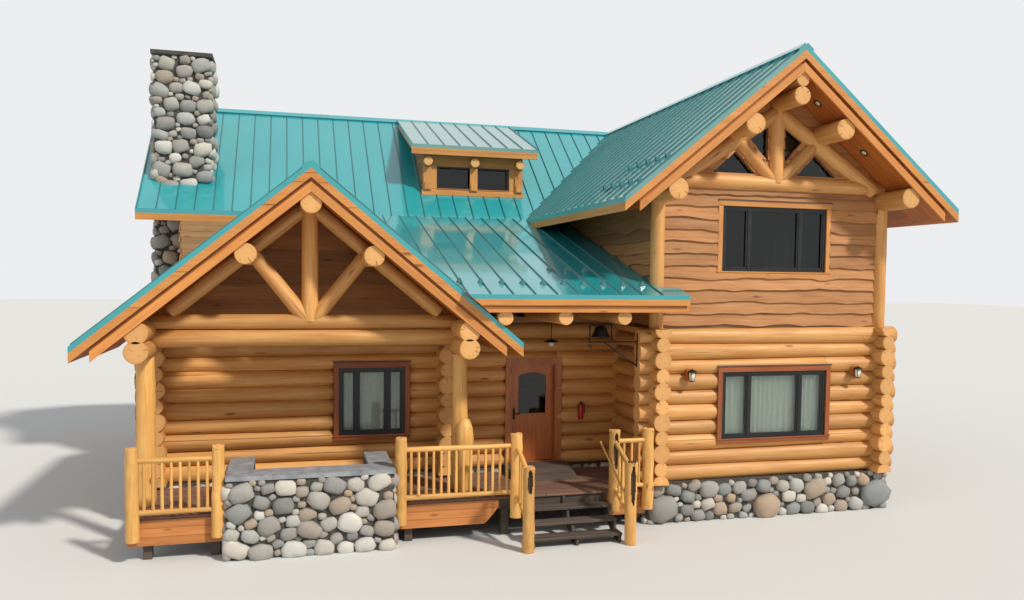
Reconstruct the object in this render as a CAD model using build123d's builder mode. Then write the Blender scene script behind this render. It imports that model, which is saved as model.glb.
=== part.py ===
from build123d import *
import math
import os

# Two-storey log cabin: a gabled wing on the right, a main block behind the entry porch,
# a gabled porch on the left, and a raised deck with a stair. Millimetres, Z up.
# Front faces -Y. The ground is Z = 0 and the origin is under the middle of the building.

# Plan: distances between the centre lines of the log walls
wing_width = 5053
main_length = 9280
house_depth = 11800
porch_depth = 1870
cross_wall_offset = 3850
chimney_front = 6400
chimney_depth = 1000
chimney_width = 1250
chimney_outside = 670
chimney_height = 9900

# Log walls
foundation_height = 794
course_count = 10
course_rise = 300
butt_radius = 178
tip_radius = 142
log_sides = 10
log_tail = 380
trim_seat = 145

# Roofs: heights of the top surfaces
ridge_height = 9203
eave_height = 6231
wing_run = 3606
wing_overhang = 949
ridge_line = 9100
main_run = 3550
main_end_overhang = 970
shallow_eave_height = 4455
shallow_overhang = 700
shallow_return = 370
porch_ridge_offset = 6530
porch_run = 3720
porch_eave_height = 3580
porch_overhang = 500
roof_depth = 260
shallow_depth = 190
soffit_depth = 450
soffit_setback = 75
soffit_end = 300
barge_top = 325
barge_bottom = 500
barge_thickness = 45
seam_spacing = 820
seam_width = 25
seam_height = 40

# Dormer on the front main slope, measured from the wing's left wall line
dormer_left = 3600
dormer_width = 2630
dormer_front = 6330
dormer_eave_overhang = 330
dormer_side_overhang = 330
dormer_front_height = 8080
dormer_roof_depth = 150

# Upper storey
floor_thickness = 106
upper_floor_thickness = 80
board_wall = 150
post_radius = 140

# Windows: outer sizes of the black frames
window_left = 1382
window_width = 2356
lower_window_sill = 1597
lower_window_height = 1338
upper_window_sill = 4924
upper_window_height = 1295
side_window_width = 1800
entry_window_width = 1300
entry_window_offset = 1450
frame_face = 60
frame_depth = 90
trim_face = 75
trim_thickness = 40
glass_thickness = 12
glass_setback = 60

# Entry door
door_left = 2406
door_width = 914
door_height = 2030
door_thickness = 45
door_gap = 7
jamb = 40
casing = 110
hinge_sides = 8
floor_level = foundation_height + floor_thickness

# Deck and stair
deck_height = 740
deck_thickness = 45
deck_front = 310
skirt_thickness = 45
rise_count = 4
tread_run = 280
tread_thickness = 55
stair_left = 2750
stair_width = 1620
rail_radius = 45
baluster_radius = 26
baluster_spacing = 138
baluster_sides = 6
rail_sides = 8
rail_post_radius = 110
post_sides = 12
rail_top = 1705
rail_bottom = 850
post_top = 1930
newel_setback = 90
newel_radius = 120
newel_top = 1500
seat_gap = 0.3

# Positions worked out from the plan
wing_left = (main_length + main_end_overhang - wing_run - wing_width / 2) / 2
wing_right = wing_left + wing_width
main_left = wing_left - main_length
stair_reach = deck_front + tread_run * (rise_count - 1) + newel_setback + newel_radius
wing_front = -(house_depth + wing_overhang - stair_reach) / 2
house_back = wing_front + house_depth
entry_line = wing_front + porch_depth
cross_wall = wing_left - cross_wall_offset
ridge_y = wing_front + ridge_line
wing_ridge_x = wing_left + wing_width / 2
porch_ridge_x = wing_left - porch_ridge_offset
main_front_y = ridge_y - main_run
wall_top = foundation_height + course_rise * course_count
upper_base = wall_top + upper_floor_thickness
wing_pitch = (ridge_height - eave_height) / wing_run
main_pitch = (ridge_height - eave_height) / main_run
shallow_front_y = wing_front - shallow_overhang
shallow_pitch = (eave_height - shallow_eave_height) / (main_front_y - shallow_front_y)
porch_pitch = wing_pitch
porch_ridge_height = porch_eave_height + porch_pitch * porch_run
far = 40000
wall_reach = 400


def save(block, label):
    """Label a finished piece and write it to its own file."""
    block.part.label = label
    export_step(block.part, f"parts/{label}.step")


def box_between(x1, x2, y1, y2, z1, z2, mode=Mode.ADD):
    """Box from one corner to the other, added in the surrounding block."""
    centre = ((x1 + x2) / 2, (y1 + y2) / 2, (z1 + z2) / 2)
    with Locations(centre):
        Box(x2 - x1, y2 - y1, z2 - z1, mode=mode)


def placed_box(side, line, a1, a2, d1, d2, z1, z2, mode=Mode.ADD):
    """Box in a wall, from a1 to a2 along the wall and from d1 to d2 inwards from its line."""
    if side == "front":
        box_between(a1, a2, line + d1, line + d2, z1, z2, mode)
    elif side == "back":
        box_between(a1, a2, line - d2, line - d1, z1, z2, mode)
    else:
        box_between(line - d2, line - d1, a1, a2, z1, z2, mode)


def cut_window(side, line, middle, width, sill, height, seat=None):
    """Cut a window through a wall. Round logs are also cut flat where the trim lies on them."""
    a1 = middle - width / 2
    a2 = middle + width / 2
    top = sill + height
    placed_box(side, line, a1, a2, -wall_reach, wall_reach, sill, top, Mode.SUBTRACT)
    if seat:
        placed_box(
            side,
            line,
            a1 - trim_face - seat_gap,
            a2 + trim_face + seat_gap,
            -wall_reach,
            -seat,
            sill - trim_face - seat_gap,
            top + trim_face + seat_gap,
            Mode.SUBTRACT,
        )


def prism_along_y(points, y1, y2):
    """Prism of an XZ outline, from y1 to y2."""
    with BuildPart() as prism:
        with BuildSketch(Plane.XZ.offset(-y1)):
            with BuildLine():
                Polyline(*points, close=True)
            make_face()
        extrude(amount=-(y2 - y1))
    return prism.part


def prism_along_x(points, x1, x2):
    """Prism of a YZ outline, from x1 to x2."""
    with BuildPart() as prism:
        with BuildSketch(Plane.YZ.offset(x1)):
            with BuildLine():
                Polyline(*points, close=True)
            make_face()
        extrude(amount=x2 - x1)
    return prism.part


def log_between(start, end, radius, sides=12):
    """Straight peeled log or pole from one point to another."""
    axis = Vector(*end) - Vector(*start)
    with BuildPart() as log:
        with BuildSketch(Plane(origin=start, z_dir=axis)):
            RegularPolygon(radius, sides, rotation=180 / sides)
        extrude(amount=axis.length)
    return log.part


os.makedirs("parts", exist_ok=True)

# Log walls. Each log tapers from its butt to its tip and is saddle notched over the crossing
# log below it. Butts and tips take turns in each wall, so every course stays level, and the
# courses of crossing walls are half a rise apart.


def course_centre(course, runs_along_x):
    """Height of a log's centre: walls along X start with a whole log, walls along Y with a half."""
    if runs_along_x:
        return foundation_height + course_rise * (course + 0.5)
    return foundation_height + course_rise * course


def wall_log(start, end, line, course, runs_along_x, crossings):
    """One tapered log, saddle notched over the crossing logs below it."""
    height = course_centre(course, runs_along_x)
    below = course_centre(course if runs_along_x else course - 1, not runs_along_x)
    butt_first = course % 2 == 0
    butt_end = start if butt_first else end
    way = 1 if butt_first else -1
    flat_radius = math.cos(math.pi / log_sides)
    taper = math.degrees(math.atan((butt_radius - tip_radius) * flat_radius / (end - start)))
    log_axis = Axis.X if runs_along_x else Axis.Y
    if runs_along_x:
        butt_plane = Plane(origin=(butt_end, line, height), x_dir=(0, 0, 1), z_dir=(way, 0, 0))
        notch_plane = Plane.XZ.offset(-line)
    else:
        butt_plane = Plane(origin=(line, butt_end, height), x_dir=(0, 0, 1), z_dir=(0, way, 0))
        notch_plane = Plane.YZ.offset(line)
    with BuildPart() as log:
        with BuildSketch(butt_plane):
            RegularPolygon(butt_radius, log_sides, rotation=180 / log_sides)
        extrude(amount=end - start)
        draft(log.faces().filter_by(log_axis, reverse=True), butt_plane, taper)
        if below > foundation_height - course_rise / 2:
            with BuildSketch(notch_plane):
                with Locations(*[(crossing, below) for crossing in crossings]):
                    RegularPolygon(butt_radius, log_sides, rotation=90 + 180 / log_sides)
            extrude(amount=butt_radius * 1.2, both=True, mode=Mode.SUBTRACT)
        if height - butt_radius < foundation_height:
            box_between(-far, far, -far, far, -far, foundation_height, mode=Mode.SUBTRACT)
        if height + butt_radius > wall_top:
            box_between(-far, far, -far, far, wall_top, far, mode=Mode.SUBTRACT)
    return log.part


def log_wall(start, end, line, runs_along_x, crossings, tails=(True, True)):
    """Stack of notched logs, cut flat at the foundation and under the upper floor."""
    first = start - (log_tail if tails[0] else 0)
    last = end + (log_tail if tails[1] else 0)
    rows = course_count if runs_along_x else course_count + 1
    logs = [wall_log(first, last, line, course, runs_along_x, crossings) for course in range(rows)]
    with BuildPart() as wall:
        add(logs)
    return wall.part


front_middle = wing_left + window_left + window_width / 2
rear_windows = (main_left + main_length * 0.3, main_left + main_length * 0.7, wing_ridge_x)
right_windows = (wing_front + house_depth * 0.3, wing_front + house_depth * 0.7)
entry_window = cross_wall - entry_window_offset

# Foundation of river stone, one mass under each part of the plan
with BuildPart() as wing_foundation:
    box_between(
        wing_left - 190, wing_right + 190, wing_front - 190, house_back + 190, 0, foundation_height
    )
save(wing_foundation, "wing_foundation")

with BuildPart() as main_foundation:
    box_between(
        main_left - 190, wing_left - 190, entry_line - 190, house_back + 190, 0, foundation_height
    )
save(main_foundation, "main_foundation")

chimney_left = main_left - chimney_outside
chimney_right = chimney_left + chimney_width
chimney_y1 = wing_front + chimney_front
chimney_y2 = chimney_y1 + chimney_depth
with BuildPart() as chimney:
    box_between(chimney_left, chimney_right, chimney_y1, chimney_y2, foundation_height, chimney_height)
    box_between(chimney_left, main_left - 190, chimney_y1, chimney_y2, 0, foundation_height)
    box_between(
        chimney_left - 60,
        chimney_right + 60,
        chimney_y1 - 60,
        chimney_y2 + 60,
        chimney_height,
        chimney_height + 90,
    )
save(chimney, "chimney")

# Log storey
with BuildPart() as wing_front_wall:
    add(log_wall(wing_left, wing_right, wing_front, True, (wing_left, wing_right)))
    cut_window(
        "front",
        wing_front,
        front_middle,
        window_width,
        lower_window_sill,
        lower_window_height,
        trim_seat,
    )
save(wing_front_wall, "wing_front_wall")

with BuildPart() as wing_left_wall:
    add(log_wall(wing_front, entry_line, wing_left, False, (wing_front, entry_line)))
save(wing_left_wall, "wing_left_wall")

with BuildPart() as wing_right_wall:
    add(log_wall(wing_front, house_back, wing_right, False, (wing_front, house_back)))
    for middle in right_windows:
        cut_window(
            "right",
            wing_right,
            middle,
            side_window_width,
            lower_window_sill,
            lower_window_height,
            trim_seat,
        )
save(wing_right_wall, "wing_right_wall")

with BuildPart() as back_wall:
    add(log_wall(main_left, wing_right, house_back, True, (main_left, wing_right)))
    for middle in rear_windows:
        cut_window(
            "back",
            house_back,
            middle,
            side_window_width,
            lower_window_sill,
            lower_window_height,
            trim_seat,
        )
save(back_wall, "back_wall")

with BuildPart() as left_wall_front:
    add(log_wall(entry_line, chimney_y1, main_left, False, (entry_line,), (True, False)))
save(left_wall_front, "left_wall_front")

with BuildPart() as left_wall_rear:
    add(log_wall(chimney_y2, house_back, main_left, False, (house_back,), (False, True)))
save(left_wall_rear, "left_wall_rear")

# Entry wall, split beside and over the doorway
doorway_left = wing_left - door_left - door_gap - jamb
doorway_right = doorway_left + door_width + 2 * (door_gap + jamb)
doorway_top = floor_level + door_height + door_gap + jamb
with BuildPart() as entry_wall:
    add(log_wall(main_left, wing_left, entry_line, True, (main_left, cross_wall, wing_left)))
    box_between(
        doorway_left - casing - seat_gap,
        doorway_right + casing + seat_gap,
        entry_line - wall_reach,
        entry_line - trim_seat,
        0,
        doorway_top + casing + seat_gap,
        mode=Mode.SUBTRACT,
    )
    cut_window(
        "front",
        entry_line,
        entry_window,
        entry_window_width,
        lower_window_sill,
        lower_window_height,
        trim_seat,
    )
entry_logs = entry_wall.part

with BuildPart() as entry_wall_left:
    add(entry_logs)
    box_between(doorway_left, far, -far, far, 0, far, mode=Mode.SUBTRACT)
save(entry_wall_left, "entry_wall_left")

with BuildPart() as entry_wall_right:
    add(entry_logs)
    box_between(-far, doorway_right, -far, far, 0, far, mode=Mode.SUBTRACT)
save(entry_wall_right, "entry_wall_right")

with BuildPart() as over_door_logs:
    add(entry_logs)
    box_between(-far, doorway_left, -far, far, 0, far, mode=Mode.SUBTRACT)
    box_between(doorway_right, far, -far, far, 0, far, mode=Mode.SUBTRACT)
    box_between(-far, far, -far, far, 0, doorway_top, mode=Mode.SUBTRACT)
save(over_door_logs, "over_door_logs")

with BuildPart() as cross_wall_ends:
    add(
        log_wall(
            entry_line - butt_radius, entry_line + butt_radius, cross_wall, False, (entry_line,)
        )
    )
save(cross_wall_ends, "cross_wall_ends")

# Roof forms. Each slope is a slab, and each roof is cut where it runs inside another one.


def gable_outline(middle, run, ridge, pitch, drop):
    """Top line of a gable roof, or a line drop below it, closed far below."""
    return [
        (middle - run, ridge - pitch * run - drop),
        (middle, ridge - drop),
        (middle + run, ridge - pitch * run - drop),
        (middle + run, -100),
        (middle - run, -100),
    ]


def slope_outline(middle, run, ridge, pitch, depth, side):
    """Slab of one slope from the ridge out to the eave."""
    eave = middle + side * run
    return [
        (middle, ridge),
        (eave, ridge - pitch * run),
        (eave, ridge - pitch * run - depth),
        (middle, ridge - depth),
    ]


wing_y1 = wing_front - wing_overhang
wing_y2 = house_back + wing_overhang
main_x1 = main_left - main_end_overhang
wing_below = prism_along_y(
    gable_outline(wing_ridge_x, wing_run, ridge_height, wing_pitch, roof_depth), wing_y1, wing_y2
)
main_below = prism_along_x(
    gable_outline(ridge_y, main_run, ridge_height, main_pitch, roof_depth), main_x1, wing_ridge_x
)
main_full = prism_along_x(
    gable_outline(ridge_y, main_run, ridge_height, main_pitch, 0), main_x1, wing_ridge_x
)
porch_y1 = wing_front - porch_overhang
porch_y2 = ridge_y
porch_under = prism_along_y(
    gable_outline(porch_ridge_x, porch_run, porch_ridge_height, porch_pitch, roof_depth),
    porch_y1 - 500,
    porch_y2,
)
entry_face = entry_line - butt_radius - seat_gap
wing_full = prism_along_y(
    gable_outline(wing_ridge_x, wing_run, ridge_height, wing_pitch, 0), wing_y1, wing_y2
)
porch_full = prism_along_y(
    gable_outline(porch_ridge_x, porch_run, porch_ridge_height, porch_pitch, 0), porch_y1, porch_y2
)
porch_ahead = prism_along_y(
    gable_outline(porch_ridge_x, porch_run, porch_ridge_height, porch_pitch, 0),
    shallow_front_y,
    porch_y1,
)
shallow_outline = [
    (shallow_front_y, shallow_eave_height),
    (main_front_y, eave_height),
    (main_front_y, eave_height - shallow_depth),
    (shallow_front_y, shallow_eave_height - shallow_depth),
]
shallow_room = prism_along_x(
    [
        (
            entry_face,
            shallow_eave_height - shallow_depth + shallow_pitch * (entry_face - shallow_front_y),
        ),
        (main_front_y, eave_height - shallow_depth),
        (main_front_y, -100),
        (entry_face, -100),
    ],
    porch_ridge_x,
    wing_left,
)

wing_slopes = {}
for side, label in ((-1, "wing_roof_left"), (1, "wing_roof_right")):
    outline = slope_outline(wing_ridge_x, wing_run, ridge_height, wing_pitch, roof_depth, side)
    with BuildPart() as wing_slope:
        add(prism_along_y(outline, wing_y1, wing_y2))
        add(main_below, mode=Mode.SUBTRACT)
    wing_slopes[side] = wing_slope.part
    save(wing_slope, label)

chimney_opening = (chimney_left, chimney_right, chimney_y1, chimney_y2)
dormer_x1 = wing_left - dormer_left
dormer_x2 = dormer_x1 + dormer_width
dormer_y1 = wing_front + dormer_front
main_slopes = {}
for side, label in ((-1, "main_roof_front"), (1, "main_roof_back")):
    outline = slope_outline(ridge_y, main_run, ridge_height, main_pitch, roof_depth, side)
    with BuildPart() as main_slope:
        add(prism_along_x(outline, main_x1, wing_ridge_x))
        add(wing_below, mode=Mode.SUBTRACT)
        add(wing_slopes[-1], mode=Mode.SUBTRACT)
        if side < 0:
            add(porch_under, mode=Mode.SUBTRACT)
            box_between(*chimney_opening, 0, far, mode=Mode.SUBTRACT)
            box_between(
                dormer_x1 + board_wall,
                dormer_x2 - board_wall,
                dormer_y1 + board_wall,
                ridge_y - 500,
                0,
                far,
                mode=Mode.SUBTRACT,
            )
    main_slopes[side] = main_slope.part
    save(main_slope, label)

porch_slopes = {}
for side, label in ((-1, "porch_roof_left"), (1, "porch_roof_right")):
    outline = slope_outline(
        porch_ridge_x, porch_run, porch_ridge_height, porch_pitch, roof_depth, side
    )
    with BuildPart() as porch_slope:
        add(prism_along_y(outline, porch_y1, porch_y2))
        add(main_slopes[-1], mode=Mode.SUBTRACT)
        add(main_below, mode=Mode.SUBTRACT)
        add(shallow_room, mode=Mode.SUBTRACT)
        box_between(-far, far, main_front_y, far, 0, eave_height, mode=Mode.SUBTRACT)
    porch_slopes[side] = porch_slope.part
    save(porch_slope, label)

with BuildPart() as shallow_roof:
    add(prism_along_x(shallow_outline, porch_ridge_x, wing_left))
    add(prism_along_x(shallow_outline, wing_left, wing_left + shallow_return))
    box_between(wing_left, far, wing_front - butt_radius - seat_gap, far, 0, far, mode=Mode.SUBTRACT)
    add(porch_under, mode=Mode.SUBTRACT)
    add([porch_slopes[1], porch_ahead, wing_slopes[-1]], mode=Mode.SUBTRACT)
    with BuildSketch(Plane.XY.offset(wall_top)):
        with Locations((wing_left, wing_front)):
            RegularPolygon(post_radius + seat_gap, post_sides)
    extrude(amount=5000, mode=Mode.SUBTRACT)
save(shallow_roof, "shallow_roof")

# Dormer
dormer_pitch = (ridge_height - dormer_front_height) / (
    ridge_line - dormer_front + dormer_eave_overhang
)
dormer_roof_front = dormer_y1 - dormer_eave_overhang
dormer_outline = [
    (dormer_roof_front, dormer_front_height),
    (ridge_y, ridge_height),
    (ridge_y, ridge_height - dormer_roof_depth),
    (dormer_roof_front, dormer_front_height - dormer_roof_depth),
]
with BuildPart() as dormer_roof:
    add(
        prism_along_x(
            dormer_outline, dormer_x1 - dormer_side_overhang, dormer_x2 + dormer_side_overhang
        )
    )
    add(main_full, mode=Mode.SUBTRACT)
save(dormer_roof, "dormer_roof")

dormer_sill = 7060
dormer_pane_height = 480
dormer_pane_width = 830
dormer_panes = (dormer_x1 + 410, dormer_x1 + 1390)
dormer_pane_outlines = [(left, left + dormer_pane_width) for left in dormer_panes]
with BuildPart() as dormer_walls:
    add(
        prism_along_x(
            [
                (dormer_y1, 0),
                (ridge_y, 0),
                (ridge_y, ridge_height - dormer_roof_depth),
                (
                    dormer_y1,
                    dormer_front_height - dormer_roof_depth + dormer_pitch * dormer_eave_overhang,
                ),
            ],
            dormer_x1,
            dormer_x2,
        )
    )
    box_between(
        dormer_x1 + board_wall,
        dormer_x2 - board_wall,
        dormer_y1 + board_wall,
        far,
        0,
        far,
        mode=Mode.SUBTRACT,
    )
    add(main_full, mode=Mode.SUBTRACT)
    for pane_left, pane_right in dormer_pane_outlines:
        box_between(
            pane_left,
            pane_right,
            dormer_y1 - 1,
            dormer_y1 + board_wall + 1,
            dormer_sill,
            dormer_sill + dormer_pane_height,
            mode=Mode.SUBTRACT,
        )
save(dormer_walls, "dormer_walls")

# Floors
with BuildPart() as ground_floor:
    box_between(
        main_left + butt_radius,
        wing_right - butt_radius,
        entry_line + butt_radius,
        house_back - butt_radius,
        foundation_height,
        floor_level,
    )
    box_between(
        wing_left + butt_radius,
        wing_right - butt_radius,
        wing_front + butt_radius,
        entry_line + butt_radius,
        foundation_height,
        floor_level,
    )
    box_between(
        wing_left - butt_radius,
        wing_left + butt_radius,
        entry_line,
        entry_line + log_tail,
        foundation_height,
        floor_level,
        mode=Mode.SUBTRACT,
    )
    box_between(
        cross_wall - butt_radius,
        cross_wall + butt_radius,
        entry_line,
        entry_line + butt_radius + log_tail,
        foundation_height,
        floor_level,
        mode=Mode.SUBTRACT,
    )
    box_between(
        wing_left,
        wing_left + log_tail,
        entry_line - butt_radius,
        entry_line + butt_radius,
        foundation_height,
        floor_level,
        mode=Mode.SUBTRACT,
    )
    box_between(*chimney_opening, 0, far, mode=Mode.SUBTRACT)
save(ground_floor, "ground_floor")

with BuildPart() as upper_floor:
    box_between(wing_left, wing_right, wing_front, house_back, wall_top, upper_base)
    box_between(main_left, wing_left, entry_line, house_back, wall_top, upper_base)
    with BuildSketch(Plane.XY.offset(wall_top)):
        with Locations((wing_left, wing_front), (wing_right, wing_front), (wing_right, house_back)):
            RegularPolygon(post_radius + seat_gap, post_sides)
        with Locations((main_left, house_back)):
            RegularPolygon(post_radius + seat_gap, post_sides)
    extrude(amount=upper_floor_thickness, mode=Mode.SUBTRACT)
    box_between(*chimney_opening, 0, far, mode=Mode.SUBTRACT)
save(upper_floor, "upper_floor")

# Upper storey: corner posts and boarded walls that run up to the undersides of the roofs
post_places = (
    (wing_left, wing_front),
    (wing_right, wing_front),
    (wing_right, house_back),
    (main_left, house_back),
)
with BuildPart() as corner_posts:
    with BuildSketch(Plane.XY.offset(wall_top)):
        with Locations(*post_places):
            RegularPolygon(post_radius, post_sides)
    extrude(amount=ridge_height - wall_top)
    add(wing_below.fuse(main_below), mode=Mode.INTERSECT)
save(corner_posts, "corner_posts")


with BuildPart() as post_room:
    with BuildSketch(Plane.XY.offset(wall_top)):
        with Locations(*post_places):
            RegularPolygon(post_radius + seat_gap, post_sides)
    extrude(amount=ridge_height)
post_space = post_room.part


# Panes of the wing's gable, as distances from the ridge line and heights. They fill the gaps
# between the logs of the truss, and the other half is a mirror image.
pane_base = 6870
outer_pane = ((470, pane_base), (1390, pane_base), (900, 7300))
inner_pane = ((190, 7120), (587, 7550), (190, 7830))


def pane_outlines():
    """Four triangular panes, two on each side of the king post."""
    outlines = []
    for side in (-1, 1):
        for pane in (outer_pane, inner_pane):
            outlines.append([(wing_ridge_x + side * across, height) for across, height in pane])
    return outlines


with BuildPart() as upper_front_wall:
    box_between(
        wing_left, wing_right, wing_front, wing_front + board_wall, upper_base, ridge_height
    )
    add(wing_below, mode=Mode.INTERSECT)
    add(post_space, mode=Mode.SUBTRACT)
    cut_window(
        "front", wing_front, front_middle, window_width, upper_window_sill, upper_window_height
    )
    for outline in pane_outlines():
        hole = prism_along_y(outline, wing_front - 1, wing_front + board_wall + 1)
        add(hole, mode=Mode.SUBTRACT)
save(upper_front_wall, "upper_front_wall")

with BuildPart() as upper_left_wall:
    box_between(
        wing_left,
        wing_left + board_wall,
        wing_front + board_wall,
        main_front_y,
        upper_base,
        ridge_height,
    )
    add(wing_below, mode=Mode.INTERSECT)
    add(post_space, mode=Mode.SUBTRACT)
save(upper_left_wall, "upper_left_wall")

with BuildPart() as upper_right_wall:
    box_between(
        wing_right - board_wall,
        wing_right,
        wing_front + board_wall,
        house_back - board_wall,
        upper_base,
        ridge_height,
    )
    add(wing_below, mode=Mode.INTERSECT)
    add(post_space, mode=Mode.SUBTRACT)
    for middle in right_windows:
        cut_window(
            "right", wing_right, middle, side_window_width, upper_window_sill, upper_window_height
        )
save(upper_right_wall, "upper_right_wall")

with BuildPart() as upper_back_wall:
    box_between(
        main_left, wing_right, house_back - board_wall, house_back, upper_base, ridge_height
    )
    add(wing_below.fuse(main_below), mode=Mode.INTERSECT)
    add(post_space, mode=Mode.SUBTRACT)
    for middle in rear_windows:
        cut_window(
            "back", house_back, middle, side_window_width, upper_window_sill, upper_window_height
        )
save(upper_back_wall, "upper_back_wall")

with BuildPart() as main_gable_wall:
    box_between(
        main_left,
        main_left + board_wall,
        main_front_y,
        house_back - board_wall,
        upper_base,
        ridge_height,
    )
    add(main_below, mode=Mode.INTERSECT)
    add(post_space, mode=Mode.SUBTRACT)
    box_between(*chimney_opening, 0, far, mode=Mode.SUBTRACT)
save(main_gable_wall, "main_gable_wall")

clerestory_lefts = (2420, 1800)
clerestory_width = 310
clerestory_height = 500
clerestory_sill = upper_base + 60
with BuildPart() as upper_entry_wall:
    box_between(
        main_left, wing_left, entry_line, entry_line + board_wall, upper_base, ridge_height
    )
    box_between(
        main_left, main_left + board_wall, entry_line, main_front_y, upper_base, ridge_height
    )
    add(porch_under.fuse(shallow_room), mode=Mode.INTERSECT)
    for left in clerestory_lefts:
        box_between(
            wing_left - left,
            wing_left - left + clerestory_width,
            entry_line - 1,
            entry_line + board_wall + 1,
            clerestory_sill,
            clerestory_sill + clerestory_height,
            mode=Mode.SUBTRACT,
        )
save(upper_entry_wall, "upper_entry_wall")

with BuildPart() as main_front_upper_wall:
    box_between(
        main_left,
        porch_ridge_x,
        main_front_y,
        main_front_y + board_wall,
        upper_base,
        ridge_height,
    )
    add(main_below, mode=Mode.INTERSECT)
    add(porch_under, mode=Mode.SUBTRACT)
    add([porch_slopes[-1], porch_slopes[1]], mode=Mode.SUBTRACT)
    box_between(
        main_left, main_left + board_wall, -far, far, 0, far, mode=Mode.SUBTRACT
    )
save(main_front_upper_wall, "main_front_upper_wall")

# Trim, frames and glass of the windows. A window is given by its wall, middle, width, sill
# and height; every window has one frame with two mullions, and a wooden trim around it.
storeys = (
    (lower_window_sill, lower_window_height),
    (upper_window_sill, upper_window_height),
)

windows = []
for sill, height in storeys:
    face = -trim_seat if sill == lower_window_sill else 0
    windows.append(("front", wing_front, front_middle, window_width, sill, height, face))
    for middle in rear_windows:
        windows.append(("back", house_back, middle, side_window_width, sill, height, face))
    for middle in right_windows:
        windows.append(("right", wing_right, middle, side_window_width, sill, height, face))
windows.append(
    (
        "front",
        entry_line,
        entry_window,
        entry_window_width,
        lower_window_sill,
        lower_window_height,
        -trim_seat,
    )
)

with BuildPart() as window_trim:
    for side, line, middle, width, sill, height, face in windows:
        a1 = middle - width / 2
        a2 = middle + width / 2
        outer = face - trim_thickness
        placed_box(side, line, a1 - trim_face, a2 + trim_face, outer, face, sill - trim_face, sill)
        top = sill + height
        placed_box(side, line, a1 - trim_face, a2 + trim_face, outer, face, top, top + trim_face)
        placed_box(side, line, a1 - trim_face, a1, outer, face, sill, top)
        placed_box(side, line, a2, a2 + trim_face, outer, face, sill, top)
save(window_trim, "window_trim")

with BuildPart() as window_frames:
    for side, line, middle, width, sill, height, face in windows:
        a1 = middle - width / 2
        a2 = middle + width / 2
        top = sill + height
        placed_box(side, line, a1, a2, face, face + frame_depth, sill, top)
        inner_width = width - 4 * frame_face
        pane_left = a1 + frame_face
        for share in (0.24, 0.52, 0.24):
            pane_right = pane_left + inner_width * share
            placed_box(
                side,
                line,
                pane_left,
                pane_right,
                face - 1,
                face + frame_depth + 1,
                sill + frame_face,
                top - frame_face,
                Mode.SUBTRACT,
            )
            pane_left = pane_right + frame_face
save(window_frames, "window_frames")

with BuildPart() as window_glass:
    for side, line, middle, width, sill, height, face in windows:
        inner_width = width - 4 * frame_face
        pane_left = middle - width / 2 + frame_face
        glass_face = face + frame_depth / 2
        for share in (0.24, 0.52, 0.24):
            pane_right = pane_left + inner_width * share
            placed_box(
                side,
                line,
                pane_left,
                pane_right,
                glass_face,
                glass_face + glass_thickness,
                sill + frame_face,
                sill + height - frame_face,
            )
            pane_left = pane_right + frame_face
    for outline in pane_outlines():
        glass_y = wing_front + glass_setback
        add(prism_along_y(outline, glass_y, glass_y + glass_thickness))
    for pane_left, pane_right in dormer_pane_outlines:
        box_between(
            pane_left,
            pane_right,
            dormer_y1 + glass_setback,
            dormer_y1 + glass_setback + glass_thickness,
            dormer_sill,
            dormer_sill + dormer_pane_height,
        )
    for left in clerestory_lefts:
        box_between(
            wing_left - left,
            wing_left - left + clerestory_width,
            entry_line + glass_setback,
            entry_line + glass_setback + glass_thickness,
            clerestory_sill,
            clerestory_sill + clerestory_height,
        )
save(window_glass, "window_glass")

# Entry door: frame with a stop outside the leaf, three butt hinges on the right side
leaf_x1 = wing_left - door_left
leaf_x2 = leaf_x1 + door_width
leaf_y2 = entry_line + 20
leaf_y1 = leaf_y2 - door_thickness
frame_y1 = entry_line - trim_seat - 15
frame_y2 = leaf_y2
knuckle_radius = 9
hinge_x = leaf_x2 + door_gap / 2
hinge_y = leaf_y2 + knuckle_radius
hinge_heights = (floor_level + 250, floor_level + 1000, floor_level + 1750)
hinge_height = 100
with BuildPart() as door_frame:
    box_between(
        doorway_left, doorway_right, frame_y1, frame_y2, floor_level - floor_thickness, doorway_top
    )
    box_between(
        leaf_x1 - door_gap,
        leaf_x2 + door_gap,
        -far,
        far,
        floor_level,
        floor_level + door_height + door_gap,
        mode=Mode.SUBTRACT,
    )
    stop_y1 = leaf_y1 - door_gap - 15
    stop_y2 = leaf_y1 - door_gap
    for x1, x2 in (
        (leaf_x1 - door_gap, leaf_x1 + 8),
        (leaf_x2 - 8, leaf_x2 + door_gap),
    ):
        box_between(x1, x2, stop_y1, stop_y2, floor_level, floor_level + door_height + door_gap)
    casing_y2 = entry_line - trim_seat
    casing_y1 = casing_y2 - 25
    box_between(
        doorway_left - casing, doorway_left, casing_y1, casing_y2, foundation_height, doorway_top + casing
    )
    box_between(
        doorway_right, doorway_right + casing, casing_y1, casing_y2, foundation_height, doorway_top + casing
    )
    box_between(doorway_left, doorway_right, casing_y1, casing_y2, doorway_top, doorway_top + casing)
save(door_frame, "door_frame")

lite_width = 600
lite_bottom = 1000
lite_height = 790
lite_rise = 80
panel_width = 600
panel_bottom = 150
panel_top = 800
panel_recess = 12
lite_middle = (leaf_x1 + leaf_x2) / 2


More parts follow.
